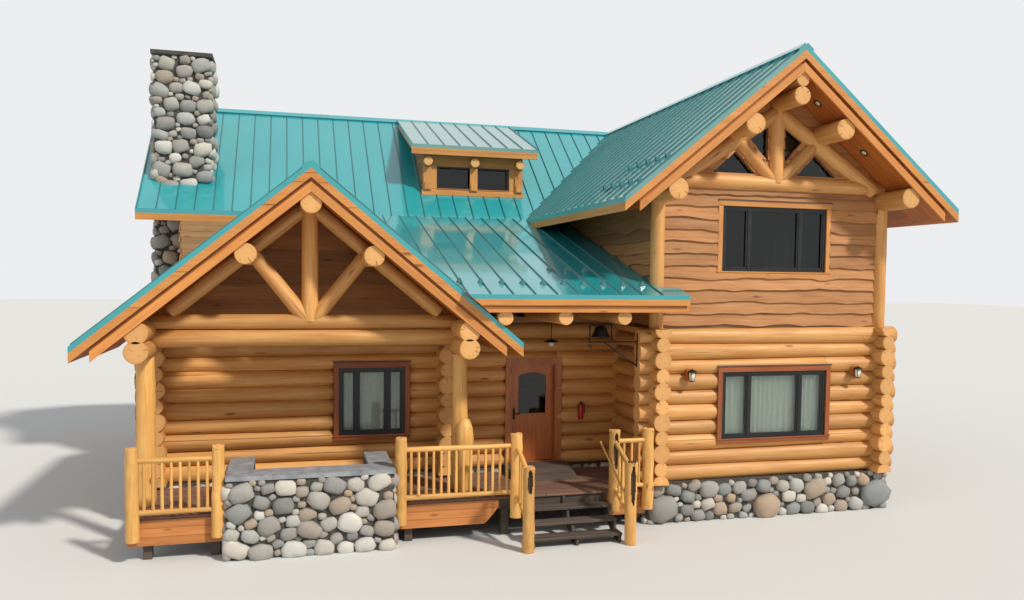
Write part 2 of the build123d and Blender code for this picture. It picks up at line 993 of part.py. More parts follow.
def lite_outline(inset):
    """Arched outline of the door's glass, as a face on the door's outer side."""
    half = lite_width / 2 - inset
    z1 = floor_level + lite_bottom + inset
    z2 = floor_level + lite_bottom + lite_height - inset
    with BuildSketch(Plane.XZ.offset(-leaf_y1)) as lite:
        with BuildLine():
            Polyline(
                (lite_middle - half, z2),
                (lite_middle - half, z1),
                (lite_middle + half, z1),
                (lite_middle + half, z2),
            )
            ThreePointArc(
                (lite_middle + half, z2), (lite_middle, z2 + lite_rise), (lite_middle - half, z2)
            )
        make_face()
    return lite.sketch


with BuildPart() as entry_door:
    box_between(leaf_x1, leaf_x2, leaf_y1, leaf_y2, floor_level + 8, floor_level + door_height)
    extrude(lite_outline(0), amount=-door_thickness, mode=Mode.SUBTRACT)
    for y1, y2 in ((leaf_y1, leaf_y1 + panel_recess), (leaf_y2 - panel_recess, leaf_y2)):
        box_between(
            lite_middle - panel_width / 2,
            lite_middle + panel_width / 2,
            y1,
            y2,
            floor_level + panel_bottom,
            floor_level + panel_top,
            mode=Mode.SUBTRACT,
        )
save(entry_door, "entry_door")

with BuildPart() as door_glass:
    extrude(lite_outline(0), amount=-door_thickness / 2 - 4)
    box_between(-far, far, -far, leaf_y1 + door_thickness / 2 - 4, 0, far, mode=Mode.SUBTRACT)
save(door_glass, "door_glass")

handle_x = leaf_x1 + 65
handle_z = floor_level + 1000
with BuildPart() as door_handle:
    for face_y, out in ((leaf_y1, -1), (leaf_y2, 1)):
        box_between(
            handle_x - 22,
            handle_x + 22,
            min(face_y, face_y + out * 8),
            max(face_y, face_y + out * 8),
            handle_z - 120,
            handle_z + 120,
        )
        add(
            log_between(
                (handle_x, face_y + out * 5, handle_z), (handle_x, face_y + out * 55, handle_z), 9
            )
        )
        add(
            log_between(
                (handle_x - 9, face_y + out * 50, handle_z),
                (handle_x + 120, face_y + out * 50, handle_z),
                9,
            )
        )
save(door_handle, "door_handle")

with BuildPart() as leaf_hinges:
    for height in hinge_heights:
        knuckle = log_between(
            (hinge_x, hinge_y, height - hinge_height / 6),
            (hinge_x, hinge_y, height + hinge_height / 6),
            knuckle_radius,
            hinge_sides,
        )
        add(knuckle)
        box_between(
            leaf_x2 - 60,
            hinge_x,
            leaf_y2,
            leaf_y2 + 3,
            height - hinge_height / 6,
            height + hinge_height / 6,
        )
save(leaf_hinges, "leaf_hinges")

with BuildPart() as frame_hinges:
    for height in hinge_heights:
        for low, high in (
            (height - hinge_height / 2, height - hinge_height / 6 - seat_gap),
            (height + hinge_height / 6 + seat_gap, height + hinge_height / 2),
        ):
            knuckle = log_between(
                (hinge_x, hinge_y, low), (hinge_x, hinge_y, high), knuckle_radius, hinge_sides
            )
            add(knuckle)
            box_between(hinge_x, leaf_x2 + door_gap + 30, leaf_y2, leaf_y2 + 3, low, high)
save(frame_hinges, "frame_hinges")

# Deck on posts, with a raised landing before the door, a skirt, a stair and peeled rails
deck_x1 = main_left - 190
deck_x2 = wing_left - 190
deck_y1 = wing_front - deck_front
deck_y2 = entry_line - 190
deck_underside = deck_height - deck_thickness
rim_y = deck_y1 + skirt_thickness
joist_depth = 190
surround_x1 = wing_left - 7900
surround_x2 = wing_left - 5130
surround_y1 = wing_front - 550
surround_y2 = wing_front + 1000
surround_front = 500
surround_return = 400
surround_height = 1330
cap_thickness = 75
with BuildPart() as deck:
    box_between(deck_x1, deck_x2, deck_y1, deck_y2, deck_underside, deck_height)
    box_between(
        surround_x1, surround_x2, surround_y1, surround_y2, 0, far, mode=Mode.SUBTRACT
    )
save(deck, "deck")

with BuildPart() as stone_surround:
    box_between(surround_x1, surround_x2, surround_y1, surround_y2, 0, surround_height)
    box_between(
        surround_x1 + surround_return,
        surround_x2 - surround_return,
        surround_y1 + surround_front,
        surround_y2 + 1,
        deck_height,
        surround_height + 1,
        mode=Mode.SUBTRACT,
    )
save(stone_surround, "stone_surround")

with BuildPart() as surround_cap:
    box_between(
        surround_x1 - 20,
        surround_x2 + 20,
        surround_y1 - 30,
        surround_y2,
        surround_height,
        surround_height + cap_thickness,
    )
    box_between(
        surround_x1 + surround_return,
        surround_x2 - surround_return,
        surround_y1 + surround_front,
        surround_y2 + 1,
        surround_height - 1,
        surround_height + cap_thickness + 1,
        mode=Mode.SUBTRACT,
    )
save(surround_cap, "surround_cap")

stair_x1 = wing_left - stair_left
stair_x2 = stair_x1 + stair_width
post_y = deck_y1 - rail_post_radius
rise = deck_height / rise_count
front_posts = (
    deck_x1 + rail_post_radius,
    surround_x1 - 20 - rail_post_radius,
    surround_x2 + 20 + rail_post_radius,
    stair_x1 - rail_post_radius - 35,
    stair_x2 + rail_post_radius + 35,
    wing_left - 300,
)
post_bottom = 380
with BuildPart() as deck_frame:
    for x in (deck_x1 + 300, surround_x1 - 200, surround_x2 + 300, stair_x1 - 300, deck_x2 - 300):
        box_between(x - 70, x + 70, deck_y1 + 120, deck_y1 + 260, 0, deck_underside - joist_depth)
    for x1, x2 in ((deck_x1, surround_x1), (surround_x2, deck_x2)):
        box_between(
            x1, x2, rim_y, rim_y + 290, deck_underside - joist_depth, deck_underside
        )
save(deck_frame, "deck_frame")

skirt_bottom = 260
skirt_end = wing_left - 3190
skirt_curve = 280
with BuildPart() as deck_skirt:
    for x1, x2 in ((deck_x1, surround_x1), (stair_x2 + 40, deck_x2 - 120)):
        box_between(x1, x2, deck_y1, rim_y, skirt_bottom, deck_underside)
    with BuildSketch(Plane.XZ.offset(-deck_y1)):
        with BuildLine():
            Polyline(
                (skirt_end, deck_underside),
                (surround_x2, deck_underside),
                (surround_x2, skirt_bottom),
                (skirt_end - skirt_curve, skirt_bottom),
            )
            Spline(
                (skirt_end - skirt_curve, skirt_bottom),
                (skirt_end - skirt_curve * 0.75, skirt_bottom + 60),
                (skirt_end - skirt_curve * 0.3, skirt_bottom + 200),
                (skirt_end, deck_underside - 120),
            )
            Line((skirt_end, deck_underside - 120), (skirt_end, deck_underside))
        make_face()
    extrude(amount=-skirt_thickness)
save(deck_skirt, "deck_skirt")

landing_depth = 520
with BuildPart() as door_landing:
    with BuildSketch(Plane.YZ.offset(leaf_x1 - 200)):
        with BuildLine():
            Polyline(
                (deck_y2, deck_height),
                (deck_y2, floor_level),
                (deck_y2 - landing_depth, floor_level),
                (deck_y2 - landing_depth - 500, deck_height),
                close=True,
            )
        make_face()
    extrude(amount=door_width + 400)
save(door_landing, "door_landing")

with BuildPart() as stair_stringers:
    for x in (stair_x1, (stair_x1 + stair_x2) / 2, stair_x2):
        with BuildSketch(Plane.YZ.offset(x - 25)):
            with BuildLine():
                steps = [(rim_y, deck_underside - 5), (deck_y1, deck_underside - 5)]
                for step in range(rise_count - 1, 0, -1):
                    tread_back = deck_y1 - tread_run * (rise_count - 1 - step)
                    top = rise * step - tread_thickness
                    steps.append((tread_back, top))
                    steps.append((tread_back - tread_run + 40, top))
                steps.append((deck_y1 - tread_run * (rise_count - 1) + 40, 0))
                steps.append((deck_y1 - tread_run * (rise_count - 2), 0))
                steps.append((deck_y1, deck_underside - 340))
                steps.append((rim_y, deck_underside - 340))
                Polyline(*steps, close=True)
            make_face()
        extrude(amount=50)
save(stair_stringers, "stair_stringers")

with BuildPart() as stair_treads:
    for step in range(1, rise_count):
        tread_back = deck_y1 - tread_run * (rise_count - 1 - step)
        box_between(
            stair_x1 - 30,
            stair_x2 + 30,
            tread_back - tread_run,
            tread_back - 5,
            rise * step - tread_thickness,
            rise * step,
        )
save(stair_treads, "stair_treads")

newel_y = deck_y1 - tread_run * (rise_count - 1) - newel_setback
newel_places = (front_posts[3], front_posts[4])
with BuildPart() as newel_posts:
    with BuildSketch(Plane.XY):
        with Locations(*[(x, newel_y) for x in newel_places]):
            RegularPolygon(newel_radius, post_sides)
    extrude(amount=newel_top)
save(newel_posts, "newel_posts")

with BuildPart() as rail_posts:
    with BuildSketch(Plane.XY.offset(post_bottom)):
        with Locations(*[(x, post_y) for x in front_posts]):
            RegularPolygon(rail_post_radius, post_sides)
    extrude(amount=post_top - post_bottom)
save(rail_posts, "rail_posts")

rail_spans = (
    (front_posts[0], front_posts[1]),
    (front_posts[2], front_posts[3]),
    (front_posts[4], front_posts[5]),
)
stair_rail_foot = 480
pole_radius = 22
pole_foot = 920
pole_rise = 700
pole_reach = 400
with BuildPart() as deck_rails:
    for x1, x2 in rail_spans:
        for height in (rail_top, rail_bottom):
            add(log_between((x1, post_y, height), (x2, post_y, height), rail_radius, rail_sides))
        clear_span = x2 - x1 - 2 * rail_post_radius
        count = max(2, round(clear_span / baluster_spacing))
        for index in range(count):
            x = x1 + rail_post_radius + clear_span * (index + 0.5) / count
            add(
                log_between(
                    (x, post_y, rail_bottom), (x, post_y, rail_top), baluster_radius, baluster_sides
                )
            )
    for x in newel_places:
        for newel_end, post_end in ((newel_top - 160, post_top - 220), (stair_rail_foot, rail_bottom)):
            start = (x, newel_y, newel_end)
            end = (x, post_y, post_end)
            add(log_between(start, end, rail_radius, rail_sides))
        for share in (0.3, 0.5, 0.7):
            y = newel_y + (post_y - newel_y) * share
            low = stair_rail_foot + (rail_bottom - stair_rail_foot) * share
            high = newel_top - 160 + (post_top - 220 - newel_top + 160) * share
            add(log_between((x, y, low), (x, y, high), baluster_radius, baluster_sides))
    pole_x = newel_places[1] - rail_post_radius - pole_radius
    pole_start = (pole_x, newel_y, pole_foot)
    pole_end = (pole_x, post_y + pole_reach, pole_foot + pole_rise)
    add(log_between(pole_start, pole_end, pole_radius, baluster_sides))
    with BuildSketch(Plane.XY):
        with Locations(*[(x, newel_y) for x in newel_places]):
            RegularPolygon(newel_radius + seat_gap, post_sides)
    extrude(amount=newel_top, mode=Mode.SUBTRACT)
    with BuildSketch(Plane.XY):
        with Locations(*[(x, post_y) for x in front_posts]):
            RegularPolygon(rail_post_radius + seat_gap, post_sides)
    extrude(amount=post_top, mode=Mode.SUBTRACT)
save(deck_rails, "deck_rails")

# Soffits and barge boards. Under each gable overhang a second layer of boards lies between the
# roof slab and the purlins, and a barge board closes its edge a step behind the slab.
side_tail = entry_line - log_tail - seat_gap
cross_tail = side_tail - butt_radius


def chevron(middle, run, ridge, pitch, top_drop, bottom_drop):
    """Band along both slopes of a gable, between two depths below the roof's top surface."""
    fall = pitch * run
    return [
        (middle - run, ridge - top_drop - fall),
        (middle, ridge - top_drop),
        (middle + run, ridge - top_drop - fall),
        (middle + run, ridge - bottom_drop - fall),
        (middle, ridge - bottom_drop),
        (middle - run, ridge - bottom_drop - fall),
    ]


def shallow_underside(y):
    """Height of the entry porch roof's underside."""
    return shallow_eave_height - shallow_depth + shallow_pitch * (y - shallow_front_y)


wing_gable = (wing_ridge_x, wing_run - soffit_end, ridge_height, wing_pitch)
porch_gable = (porch_ridge_x, porch_run - soffit_end, porch_ridge_height, porch_pitch)
eave_board_bottom = 4131
eave_board_y1 = shallow_front_y + 60
eave_board_y2 = eave_board_y1 + barge_thickness
with BuildPart() as barge_boards:
    for gable, edge, wall, way in (
        (wing_gable, wing_y1, wing_front - seat_gap, 1),
        (wing_gable, wing_y2, house_back + seat_gap, -1),
        (porch_gable, porch_y1, entry_line - seat_gap, 1),
    ):
        soffit_y = edge + way * soffit_setback
        board_y = soffit_y - way * barge_thickness
        soffit = chevron(*gable, roof_depth, soffit_depth)
        board = chevron(*gable, barge_top, barge_bottom)
        add(prism_along_y(soffit, min(soffit_y, wall), max(soffit_y, wall)))
        add(prism_along_y(board, min(board_y, soffit_y), max(board_y, soffit_y)))
    box_between(
        main_left - butt_radius - seat_gap,
        main_left + butt_radius + seat_gap,
        side_tail,
        entry_line,
        0,
        wall_top + seat_gap,
        mode=Mode.SUBTRACT,
    )
    box_between(-far, far, entry_face, entry_line, 0, wall_top + seat_gap, mode=Mode.SUBTRACT)
    add(post_space, mode=Mode.SUBTRACT)
    eave_board = prism_along_x(
        [
            (eave_board_y1, eave_board_bottom),
            (eave_board_y1, shallow_underside(eave_board_y1)),
            (eave_board_y2, shallow_underside(eave_board_y2)),
            (eave_board_y2, eave_board_bottom),
        ],
        porch_ridge_x,
        wing_left + shallow_return,
    )
    add(eave_board.cut(porch_ahead))
save(barge_boards, "barge_boards")

# Standing seams of the metal roofs, every second one of the real roof
shallow_full = prism_along_x(
    [
        (shallow_front_y, shallow_eave_height),
        (main_front_y, eave_height),
        (main_front_y, -100),
        (shallow_front_y, -100),
    ],
    porch_ridge_x,
    wing_left + shallow_return,
)
dormer_full = prism_along_x(
    [
        (dormer_roof_front, dormer_front_height),
        (ridge_y, ridge_height),
        (ridge_y, -100),
        (dormer_roof_front, -100),
    ],
    dormer_x1 - dormer_side_overhang,
    dormer_x2 + dormer_side_overhang,
)


def seam_band(outline, start, end, runs_along_x):
    """Seams of a roof, as slices of a band that lies on its top surface."""
    count = round((end - start) / seam_spacing)
    seams = []
    for index in range(count):
        middle = start + (end - start) * (index + 0.5) / count
        prism = prism_along_y if runs_along_x else prism_along_x
        seams.append(prism(outline, middle - seam_width / 2, middle + seam_width / 2))
    return seams


def slope_band(y1, z1, y2, z2):
    """Band on top of a single slope that rises along Y."""
    return [(y1, z1), (y2, z2), (y2, z2 + seam_height), (y1, z1 + seam_height)]


with BuildPart() as wing_seams:
    band = chevron(wing_ridge_x, wing_run, ridge_height, wing_pitch, -seam_height, 0)
    add(seam_band(band, wing_y1, wing_y2, True))
    add(main_full, mode=Mode.SUBTRACT)
with BuildPart() as main_seams:
    band = chevron(ridge_y, main_run, ridge_height, main_pitch, -seam_height, 0)
    add(seam_band(band, main_x1, wing_ridge_x, False))
    add([wing_full, porch_full, dormer_full], mode=Mode.SUBTRACT)
    box_between(*chimney_opening, 0, far, mode=Mode.SUBTRACT)
with BuildPart() as porch_seams:
    band = chevron(porch_ridge_x, porch_run, porch_ridge_height, porch_pitch, -seam_height, 0)
    add(seam_band(band, porch_y1, main_front_y, True))
    add([main_full, shallow_full], mode=Mode.SUBTRACT)
with BuildPart() as shallow_seams:
    band = slope_band(shallow_front_y, shallow_eave_height, main_front_y, eave_height)
    add(seam_band(band, porch_ridge_x, wing_left, False))
    add([porch_full, porch_ahead, wing_slopes[-1]], mode=Mode.SUBTRACT)
with BuildPart() as dormer_seams:
    band = slope_band(dormer_roof_front, dormer_front_height, ridge_y, ridge_height)
    add(
        seam_band(band, dormer_x1 - dormer_side_overhang, dormer_x2 + dormer_side_overhang, False)
    )
    add(main_full, mode=Mode.SUBTRACT)
with BuildPart() as roof_seams:
    for seams in (wing_seams, main_seams, porch_seams, shallow_seams, dormer_seams):
        add(seams.part)
save(roof_seams, "roof_seams")

# Purlins of round logs, scribed to the underside of the soffits
purlin_scribe = 5
wing_rest = prism_along_y(
    gable_outline(wing_ridge_x, wing_run, ridge_height, wing_pitch, soffit_depth), wing_y1, wing_y2
)
porch_rest = prism_along_y(
    gable_outline(porch_ridge_x, porch_run, porch_ridge_height, porch_pitch, soffit_depth),
    porch_y1,
    porch_y2,
)


def purlin_height(ridge, across, radius):
    """Height of a purlin's centre that puts its log just under the soffit."""
    reach = radius * math.hypot(1, wing_pitch)
    return ridge - soffit_depth - wing_pitch * across - reach + purlin_scribe


column_x = wing_left - 3780
column_left_x = 2 * porch_ridge_x - column_x
column_y = wing_front + 500
column_radius = 150
beam_radius = 190
beam_height = 3470
porch_purlin_radius = 180
porch_purlin_across = 1060
porch_purlin_y1 = porch_y1 + soffit_setback + seat_gap
side_height = purlin_height(porch_ridge_height, porch_purlin_across, porch_purlin_radius)
top_height = purlin_height(porch_ridge_height, 0, porch_purlin_radius)
rafter_radius = 140
rafter_height = 4037
rafter_y1 = eave_board_y2 + 35
rafter_notch = 60
rafter_offsets = (3160, 2030, 880)
with BuildPart() as porch_purlins:
    for x, z, radius, end in (
        (column_x, beam_height, beam_radius, cross_tail),
        (column_left_x, beam_height, beam_radius, side_tail),
        (column_x, beam_height + 2 * beam_radius - 70, beam_radius, cross_tail),
        (column_left_x, beam_height + 2 * beam_radius - 70, beam_radius, side_tail),
        (porch_ridge_x + porch_purlin_across, side_height, porch_purlin_radius, entry_line),
        (porch_ridge_x - porch_purlin_across, side_height, porch_purlin_radius, entry_line),
        (porch_ridge_x, top_height, porch_purlin_radius, entry_line),
    ):
        add(log_between((x, porch_purlin_y1, z), (x, end, z), radius))
    add(porch_rest, mode=Mode.INTERSECT)
porch_logs = porch_purlins.part
with BuildPart() as porch_rafters:
    for offset in rafter_offsets:
        x = wing_left - offset
        start = (x, rafter_y1, rafter_height)
        add(log_between(start, (x, entry_line, rafter_height), rafter_radius))
    box_between(
        -far, far, rafter_y1, rafter_y1 + rafter_notch, rafter_height, far, mode=Mode.SUBTRACT
    )
    add(porch_full, mode=Mode.SUBTRACT)
    add(porch_logs)
save(porch_rafters, "porch_purlins")

# Columns of the gabled porch, and a knotty carved post in front of the right one
burl_place = (wing_left - 3750, wing_front + 150)
burl_height = 1400
with BuildPart() as porch_columns:
    with BuildSketch(Plane.XY.offset(deck_height)):
        with Locations((column_x, column_y), (column_left_x, column_y)):
            RegularPolygon(column_radius, post_sides)
    extrude(amount=beam_height - deck_height)
    add(porch_logs, mode=Mode.SUBTRACT)
    burl_plane = Plane(origin=(*burl_place, deck_height), x_dir=(1, 0, 0), z_dir=(0, -1, 0))
    with BuildSketch(burl_plane):
        Polygon(
            (0, 0),
            (150, 0),
            (130, 320),
            (160, 520),
            (125, 760),
            (160, 1000),
            (140, 1230),
            (80, burl_height - 30),
            (0, burl_height),
            align=None,
        )
    revolve(axis=Axis((*burl_place, 0), (0, 0, 1)))
save(porch_columns, "porch_columns")

mid_across = 980
mid_radius = 200
eave_purlin_radius = 200
ridge_radius = 140
lower_ridge_radius = 175
ridge_purlin_height = purlin_height(ridge_height, 0, ridge_radius)
eave_across = wing_width / 2
eave_purlin_height = purlin_height(ridge_height, eave_across, eave_purlin_radius)
mid_height = purlin_height(ridge_height, mid_across, mid_radius)
overhang_inset = soffit_setback + seat_gap
with BuildPart() as wing_purlins:
    for y1, y2 in (
        (wing_y1 + overhang_inset, wing_front - seat_gap),
        (house_back + seat_gap, wing_y2 - overhang_inset),
    ):
        for x, z, radius in (
            (wing_left, eave_purlin_height, eave_purlin_radius),
            (wing_right, eave_purlin_height, eave_purlin_radius),
            (wing_ridge_x - mid_across, mid_height, mid_radius),
            (wing_ridge_x + mid_across, mid_height, mid_radius),
            (wing_ridge_x, ridge_purlin_height, ridge_radius),
            (
                wing_ridge_x,
                ridge_purlin_height - ridge_radius - lower_ridge_radius + purlin_scribe,
                lower_ridge_radius,
            ),
        ):
            add(log_between((x, y1, z), (x, y2, z), radius))
    add(wing_rest, mode=Mode.INTERSECT)
    add(post_space, mode=Mode.SUBTRACT)
save(wing_purlins, "wing_purlins")

# Log trusses. The wing's truss is of half logs on the gable wall, round the panes, and the
# porch truss stands over the columns on two tie beams.


def truss_pair(middle, y, foot, head, radius):
    """Two logs of a truss, mirrored at its middle, from distances and heights."""
    logs = []
    for side in (-1, 1):
        start = (middle + side * foot[0], y, foot[1])
        logs.append(log_between(start, (middle + side * head[0], y, head[1]), radius))
    return logs


chord_height = 6690
chord_radius = 150
king_radius = 160
strut_radius = 135
tie_radius = 155
tie_height = 3630
porch_chord_radius = 135
porch_chord_height = tie_height + tie_radius + porch_chord_radius
top_chord_foot = 2350
top_chord_drop = strut_radius * math.hypot(1, porch_pitch)
top_chord_start = porch_ridge_height - soffit_depth - top_chord_drop
top_chord_end = top_chord_start - porch_pitch * top_chord_foot
with BuildPart() as wing_truss:
    chord_start = (wing_left, wing_front, chord_height)
    add(log_between(chord_start, (wing_right, wing_front, chord_height), chord_radius))
    king_foot = (wing_ridge_x, wing_front, chord_height)
    add(log_between(king_foot, (wing_ridge_x, wing_front, 8150), king_radius))
    add(truss_pair(wing_ridge_x, wing_front, (80, 6740), (860, 7510), strut_radius))
    add(truss_pair(wing_ridge_x, wing_front, (2300, 6620), (60, 8070), king_radius))
    box_between(-far, far, wing_front - seat_gap, far, 0, far, mode=Mode.SUBTRACT)
    add(wing_rest, mode=Mode.INTERSECT)
    add([post_space, wing_purlins.part], mode=Mode.SUBTRACT)
with BuildPart() as porch_truss:
    for height, radius in ((tie_height, tie_radius), (porch_chord_height, porch_chord_radius)):
        start = (column_left_x, column_y, height)
        add(log_between(start, (column_x, column_y, height), radius))
    king_foot = (porch_ridge_x, column_y, porch_chord_height)
    add(log_between(king_foot, (porch_ridge_x, column_y, top_height), column_radius))
    strut_foot = (80, porch_chord_height + 60)
    add(truss_pair(porch_ridge_x, column_y, strut_foot, (1020, 5160), strut_radius))
    chord_foot = (top_chord_foot, top_chord_end)
    add(truss_pair(porch_ridge_x, column_y, chord_foot, (0, top_chord_start), strut_radius))
    add(porch_rest, mode=Mode.INTERSECT)
    add([porch_logs, porch_columns.part], mode=Mode.SUBTRACT)
with BuildPart() as gable_trusses:
    add([wing_truss.part, porch_truss.part])
save(gable_trusses, "gable_trusses")

# Bell on a forged bracket, strapped to the log ends at the wing's corner
bell_x = wing_left - 1140
bell_mouth = 3640
bell_radius = 190
bell_height = 215
bell_lip = 14
bell_mouth_depth = 20
bar = 24
strap_x = wing_left - log_tail - seat_gap
arm_left = wing_left - 1400
arm_height = 3555
strap_foot = 3050
upright_gap = 20
with BuildPart() as bell:
    mouth = (bell_x, wing_front, bell_mouth)
    with BuildSketch(Plane(origin=mouth, x_dir=(1, 0, 0), z_dir=(0, -1, 0))):
        Polygon(
            (bell_radius, 0),
            (bell_radius * 0.76, bell_height * 0.3),
            (bell_radius * 0.6, bell_height * 0.75),
            (bell_radius * 0.4, bell_height * 0.95),
            (0, bell_height),
            (0, bell_mouth_depth),
            (bell_radius - bell_lip, bell_mouth_depth),
            (bell_radius - bell_lip, 0),
            align=None,
        )
    revolve(axis=Axis((bell_x, wing_front, 0), (0, 0, 1)))
    side_y = (wing_front - bar / 2, wing_front + bar / 2)
    yoke = bell_mouth + bell_height
    reach = bell_radius + upright_gap
    box_between(bell_x - reach - bar, bell_x + reach + bar, *side_y, yoke - 2, yoke + bar)
    for x in (bell_x - reach - bar, bell_x + reach):
        box_between(x, x + bar, *side_y, arm_height, yoke + bar)
    box_between(arm_left, strap_x, *side_y, arm_height - bar, arm_height)
    box_between(strap_x - bar / 2, strap_x, *side_y, strap_foot, arm_height + 150)
    brace_foot = (strap_x - bar / 2, wing_front, strap_foot + 30)
    add(log_between(brace_foot, (bell_x + 60, wing_front, arm_height - bar / 2), bar / 2, 6))
save(bell, "bell")

# Wall lanterns on blocks that are scribed to the logs, and the pendant lamp of the porch
lantern_places = (wing_left + 652, wing_left + 4400)
lantern_height = 2900
lantern_radius = 70
lantern_y = wing_front - 290
pendant_x = wing_left - 1680
pendant_y = wing_front + 1400
pendant_height = 3350
with BuildPart() as lamps:
    for x in lantern_places:
        box_between(
            x - 75, x + 75, wing_front - 205, wing_front, lantern_height - 110, lantern_height + 110
        )
    add(wing_front_wall.part, mode=Mode.SUBTRACT)
    for x in lantern_places:
        with BuildSketch(Plane.XY.offset(lantern_height - 130)):
            with Locations((x, lantern_y)):
                RegularPolygon(lantern_radius * 0.75, 6)
        extrude(amount=190, taper=-6)
        with BuildSketch(Plane.XY.offset(lantern_height + 60)):
            with Locations((x, lantern_y)):
                RegularPolygon(lantern_radius * 1.35, 6)
        extrude(amount=60, taper=50)
        box_between(
            x - 12, x + 12, lantern_y, wing_front - 205, lantern_height + 70, lantern_height + 94
        )
    with BuildSketch(Plane.XY.offset(pendant_height)):
        with Locations((pendant_x, pendant_y)):
            RegularPolygon(55, 8)
    extrude(amount=110)
    with BuildSketch(Plane.XY.offset(pendant_height + 90)):
        with Locations((pendant_x, pendant_y)):
            RegularPolygon(150, post_sides)
    extrude(amount=60, taper=58)
    box_between(
        pendant_x - 6,
        pendant_x + 6,
        pendant_y - 6,
        pendant_y + 6,
        pendant_height + 110,
        shallow_underside(pendant_y - 6),
    )
save(lamps, "lamps")
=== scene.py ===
"""Log cabin with a gabled wing: its visible pieces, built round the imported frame.

Everything is in metres. Front faces -Y, the ground is Z = 0.
"""

import logging
import math
import random
from dataclasses import dataclass, field
from enum import Enum
from typing import Any, Iterable, Sequence

import bmesh
import bpy
from mathutils import Matrix, Vector, noise


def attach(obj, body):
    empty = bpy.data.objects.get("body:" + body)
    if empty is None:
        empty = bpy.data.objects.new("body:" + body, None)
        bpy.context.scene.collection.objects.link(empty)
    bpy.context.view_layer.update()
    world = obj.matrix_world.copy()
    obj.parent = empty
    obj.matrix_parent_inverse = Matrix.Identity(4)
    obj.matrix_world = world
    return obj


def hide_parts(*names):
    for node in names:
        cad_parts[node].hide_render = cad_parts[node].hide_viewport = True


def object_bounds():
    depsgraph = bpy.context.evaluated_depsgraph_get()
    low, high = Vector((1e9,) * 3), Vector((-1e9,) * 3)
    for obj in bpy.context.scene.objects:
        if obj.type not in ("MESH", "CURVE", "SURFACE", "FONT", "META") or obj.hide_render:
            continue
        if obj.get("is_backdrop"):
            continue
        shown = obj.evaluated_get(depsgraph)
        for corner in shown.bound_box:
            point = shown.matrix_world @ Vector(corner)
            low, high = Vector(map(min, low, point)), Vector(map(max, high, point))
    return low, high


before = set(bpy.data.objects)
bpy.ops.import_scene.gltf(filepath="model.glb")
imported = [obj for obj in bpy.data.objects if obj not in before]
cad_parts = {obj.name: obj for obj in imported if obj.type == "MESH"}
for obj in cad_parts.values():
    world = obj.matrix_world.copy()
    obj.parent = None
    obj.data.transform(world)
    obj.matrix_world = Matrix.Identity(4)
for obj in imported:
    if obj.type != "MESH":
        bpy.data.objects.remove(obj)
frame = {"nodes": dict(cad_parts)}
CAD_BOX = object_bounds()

LOG = logging.getLogger("cabin")

WING_LEFT = 2.05875
WING_RIGHT = 7.11175
MAIN_LEFT = -7.22125
CROSS = -1.79125
WING_FRONT = -5.6945
ENTRY = -3.8245
BACK = 6.1055
RIDGE_Y = 3.4055
WING_RIDGE_X = 4.58525
PORCH_RIDGE_X = -4.47125
WING_RUN = 3.606
MAIN_RUN = 3.55
MAIN_FRONT_Y = RIDGE_Y - MAIN_RUN
MAIN_X1 = MAIN_LEFT - 0.97
WING_Y1 = WING_FRONT - 0.949
WING_Y2 = BACK + 0.949
PORCH_Y1 = WING_FRONT - 0.5
SHALLOW_Y1 = WING_FRONT - 0.7
BASE = 0.794
RISE = 0.3
COURSES = 10
WALL_TOP = BASE + RISE * COURSES
UPPER_BASE = WALL_TOP + 0.08
RIDGE_Z = 9.203
EAVE_Z = 6.231
WING_PITCH = (RIDGE_Z - EAVE_Z) / WING_RUN
MAIN_PITCH = (RIDGE_Z - EAVE_Z) / MAIN_RUN
DORMER_PITCH = 0.3622
SHALLOW_Z = 4.455
SHALLOW_PITCH = (EAVE_Z - SHALLOW_Z) / (MAIN_FRONT_Y - SHALLOW_Y1)
PORCH_RUN = 3.72
PORCH_EAVE_Z = 3.58
PORCH_RIDGE_Z = PORCH_EAVE_Z + WING_PITCH * PORCH_RUN
ROOF_DEPTH = 0.26
BUTT = 0.176
TIP = 0.141
TAIL = 0.38
CHIMNEY = (-7.89125, -6.64125, 0.7055, 1.7055)
DECK_Z = 0.74
DECK_Y1 = WING_FRONT - 0.31
TRUSS_Y = -5.1945
COLUMN_X = (-1.72125, -7.22125)
PURLIN_SETBACK = 0.0753
SEAT_GAP = 0.0003
SURROUND = (WING_LEFT - 7.9, WING_LEFT - 5.13, WING_FRONT - 0.55, WING_FRONT + 1.0)
FRONT_WINDOW = (1.382, 3.738)
SIDE_WINDOWS = (3.54, 8.26)
REAR_WINDOWS = (2.784, 6.496)
SIDE_HALF = 0.9
GRAIN_UV = "Grain"
TONE = "tone"
UP = Vector((0, 0, 1))
LOG_SKINS = ("PeeledLog", "SawnLogEnd")
POLE_SKINS = ("PeeledPole", "SawnLogEnd")

Mesh = bmesh.types.BMesh
Socket = bpy.types.NodeSocket
Rng = random.Random
Point = Sequence[float]
Colour = tuple[float, float, float]
Clip = tuple[Vector, Vector]
Outline = Sequence[tuple[float, float]]
Stone = tuple[float, float, float]
LogRow = tuple[Point, Point, float, float]
BoardRow = tuple[Point, Point, int, int]

LAYER_DROP = 0.45
LOWER_SILL = 1.597
LOWER_HEIGHT = 1.338
UPPER_SILL = 4.924
UPPER_HEIGHT = 1.295
PORCH_ABOVE = (
    Vector((PORCH_RIDGE_X, 0, PORCH_RIDGE_Z)),
    -Vector((WING_PITCH, 0, 1)).normalized(),
)
PANES = (((0.47, 6.87), (1.39, 6.87), (0.90, 7.30)), ((0.19, 7.12), (0.587, 7.55), (0.19, 7.83)))

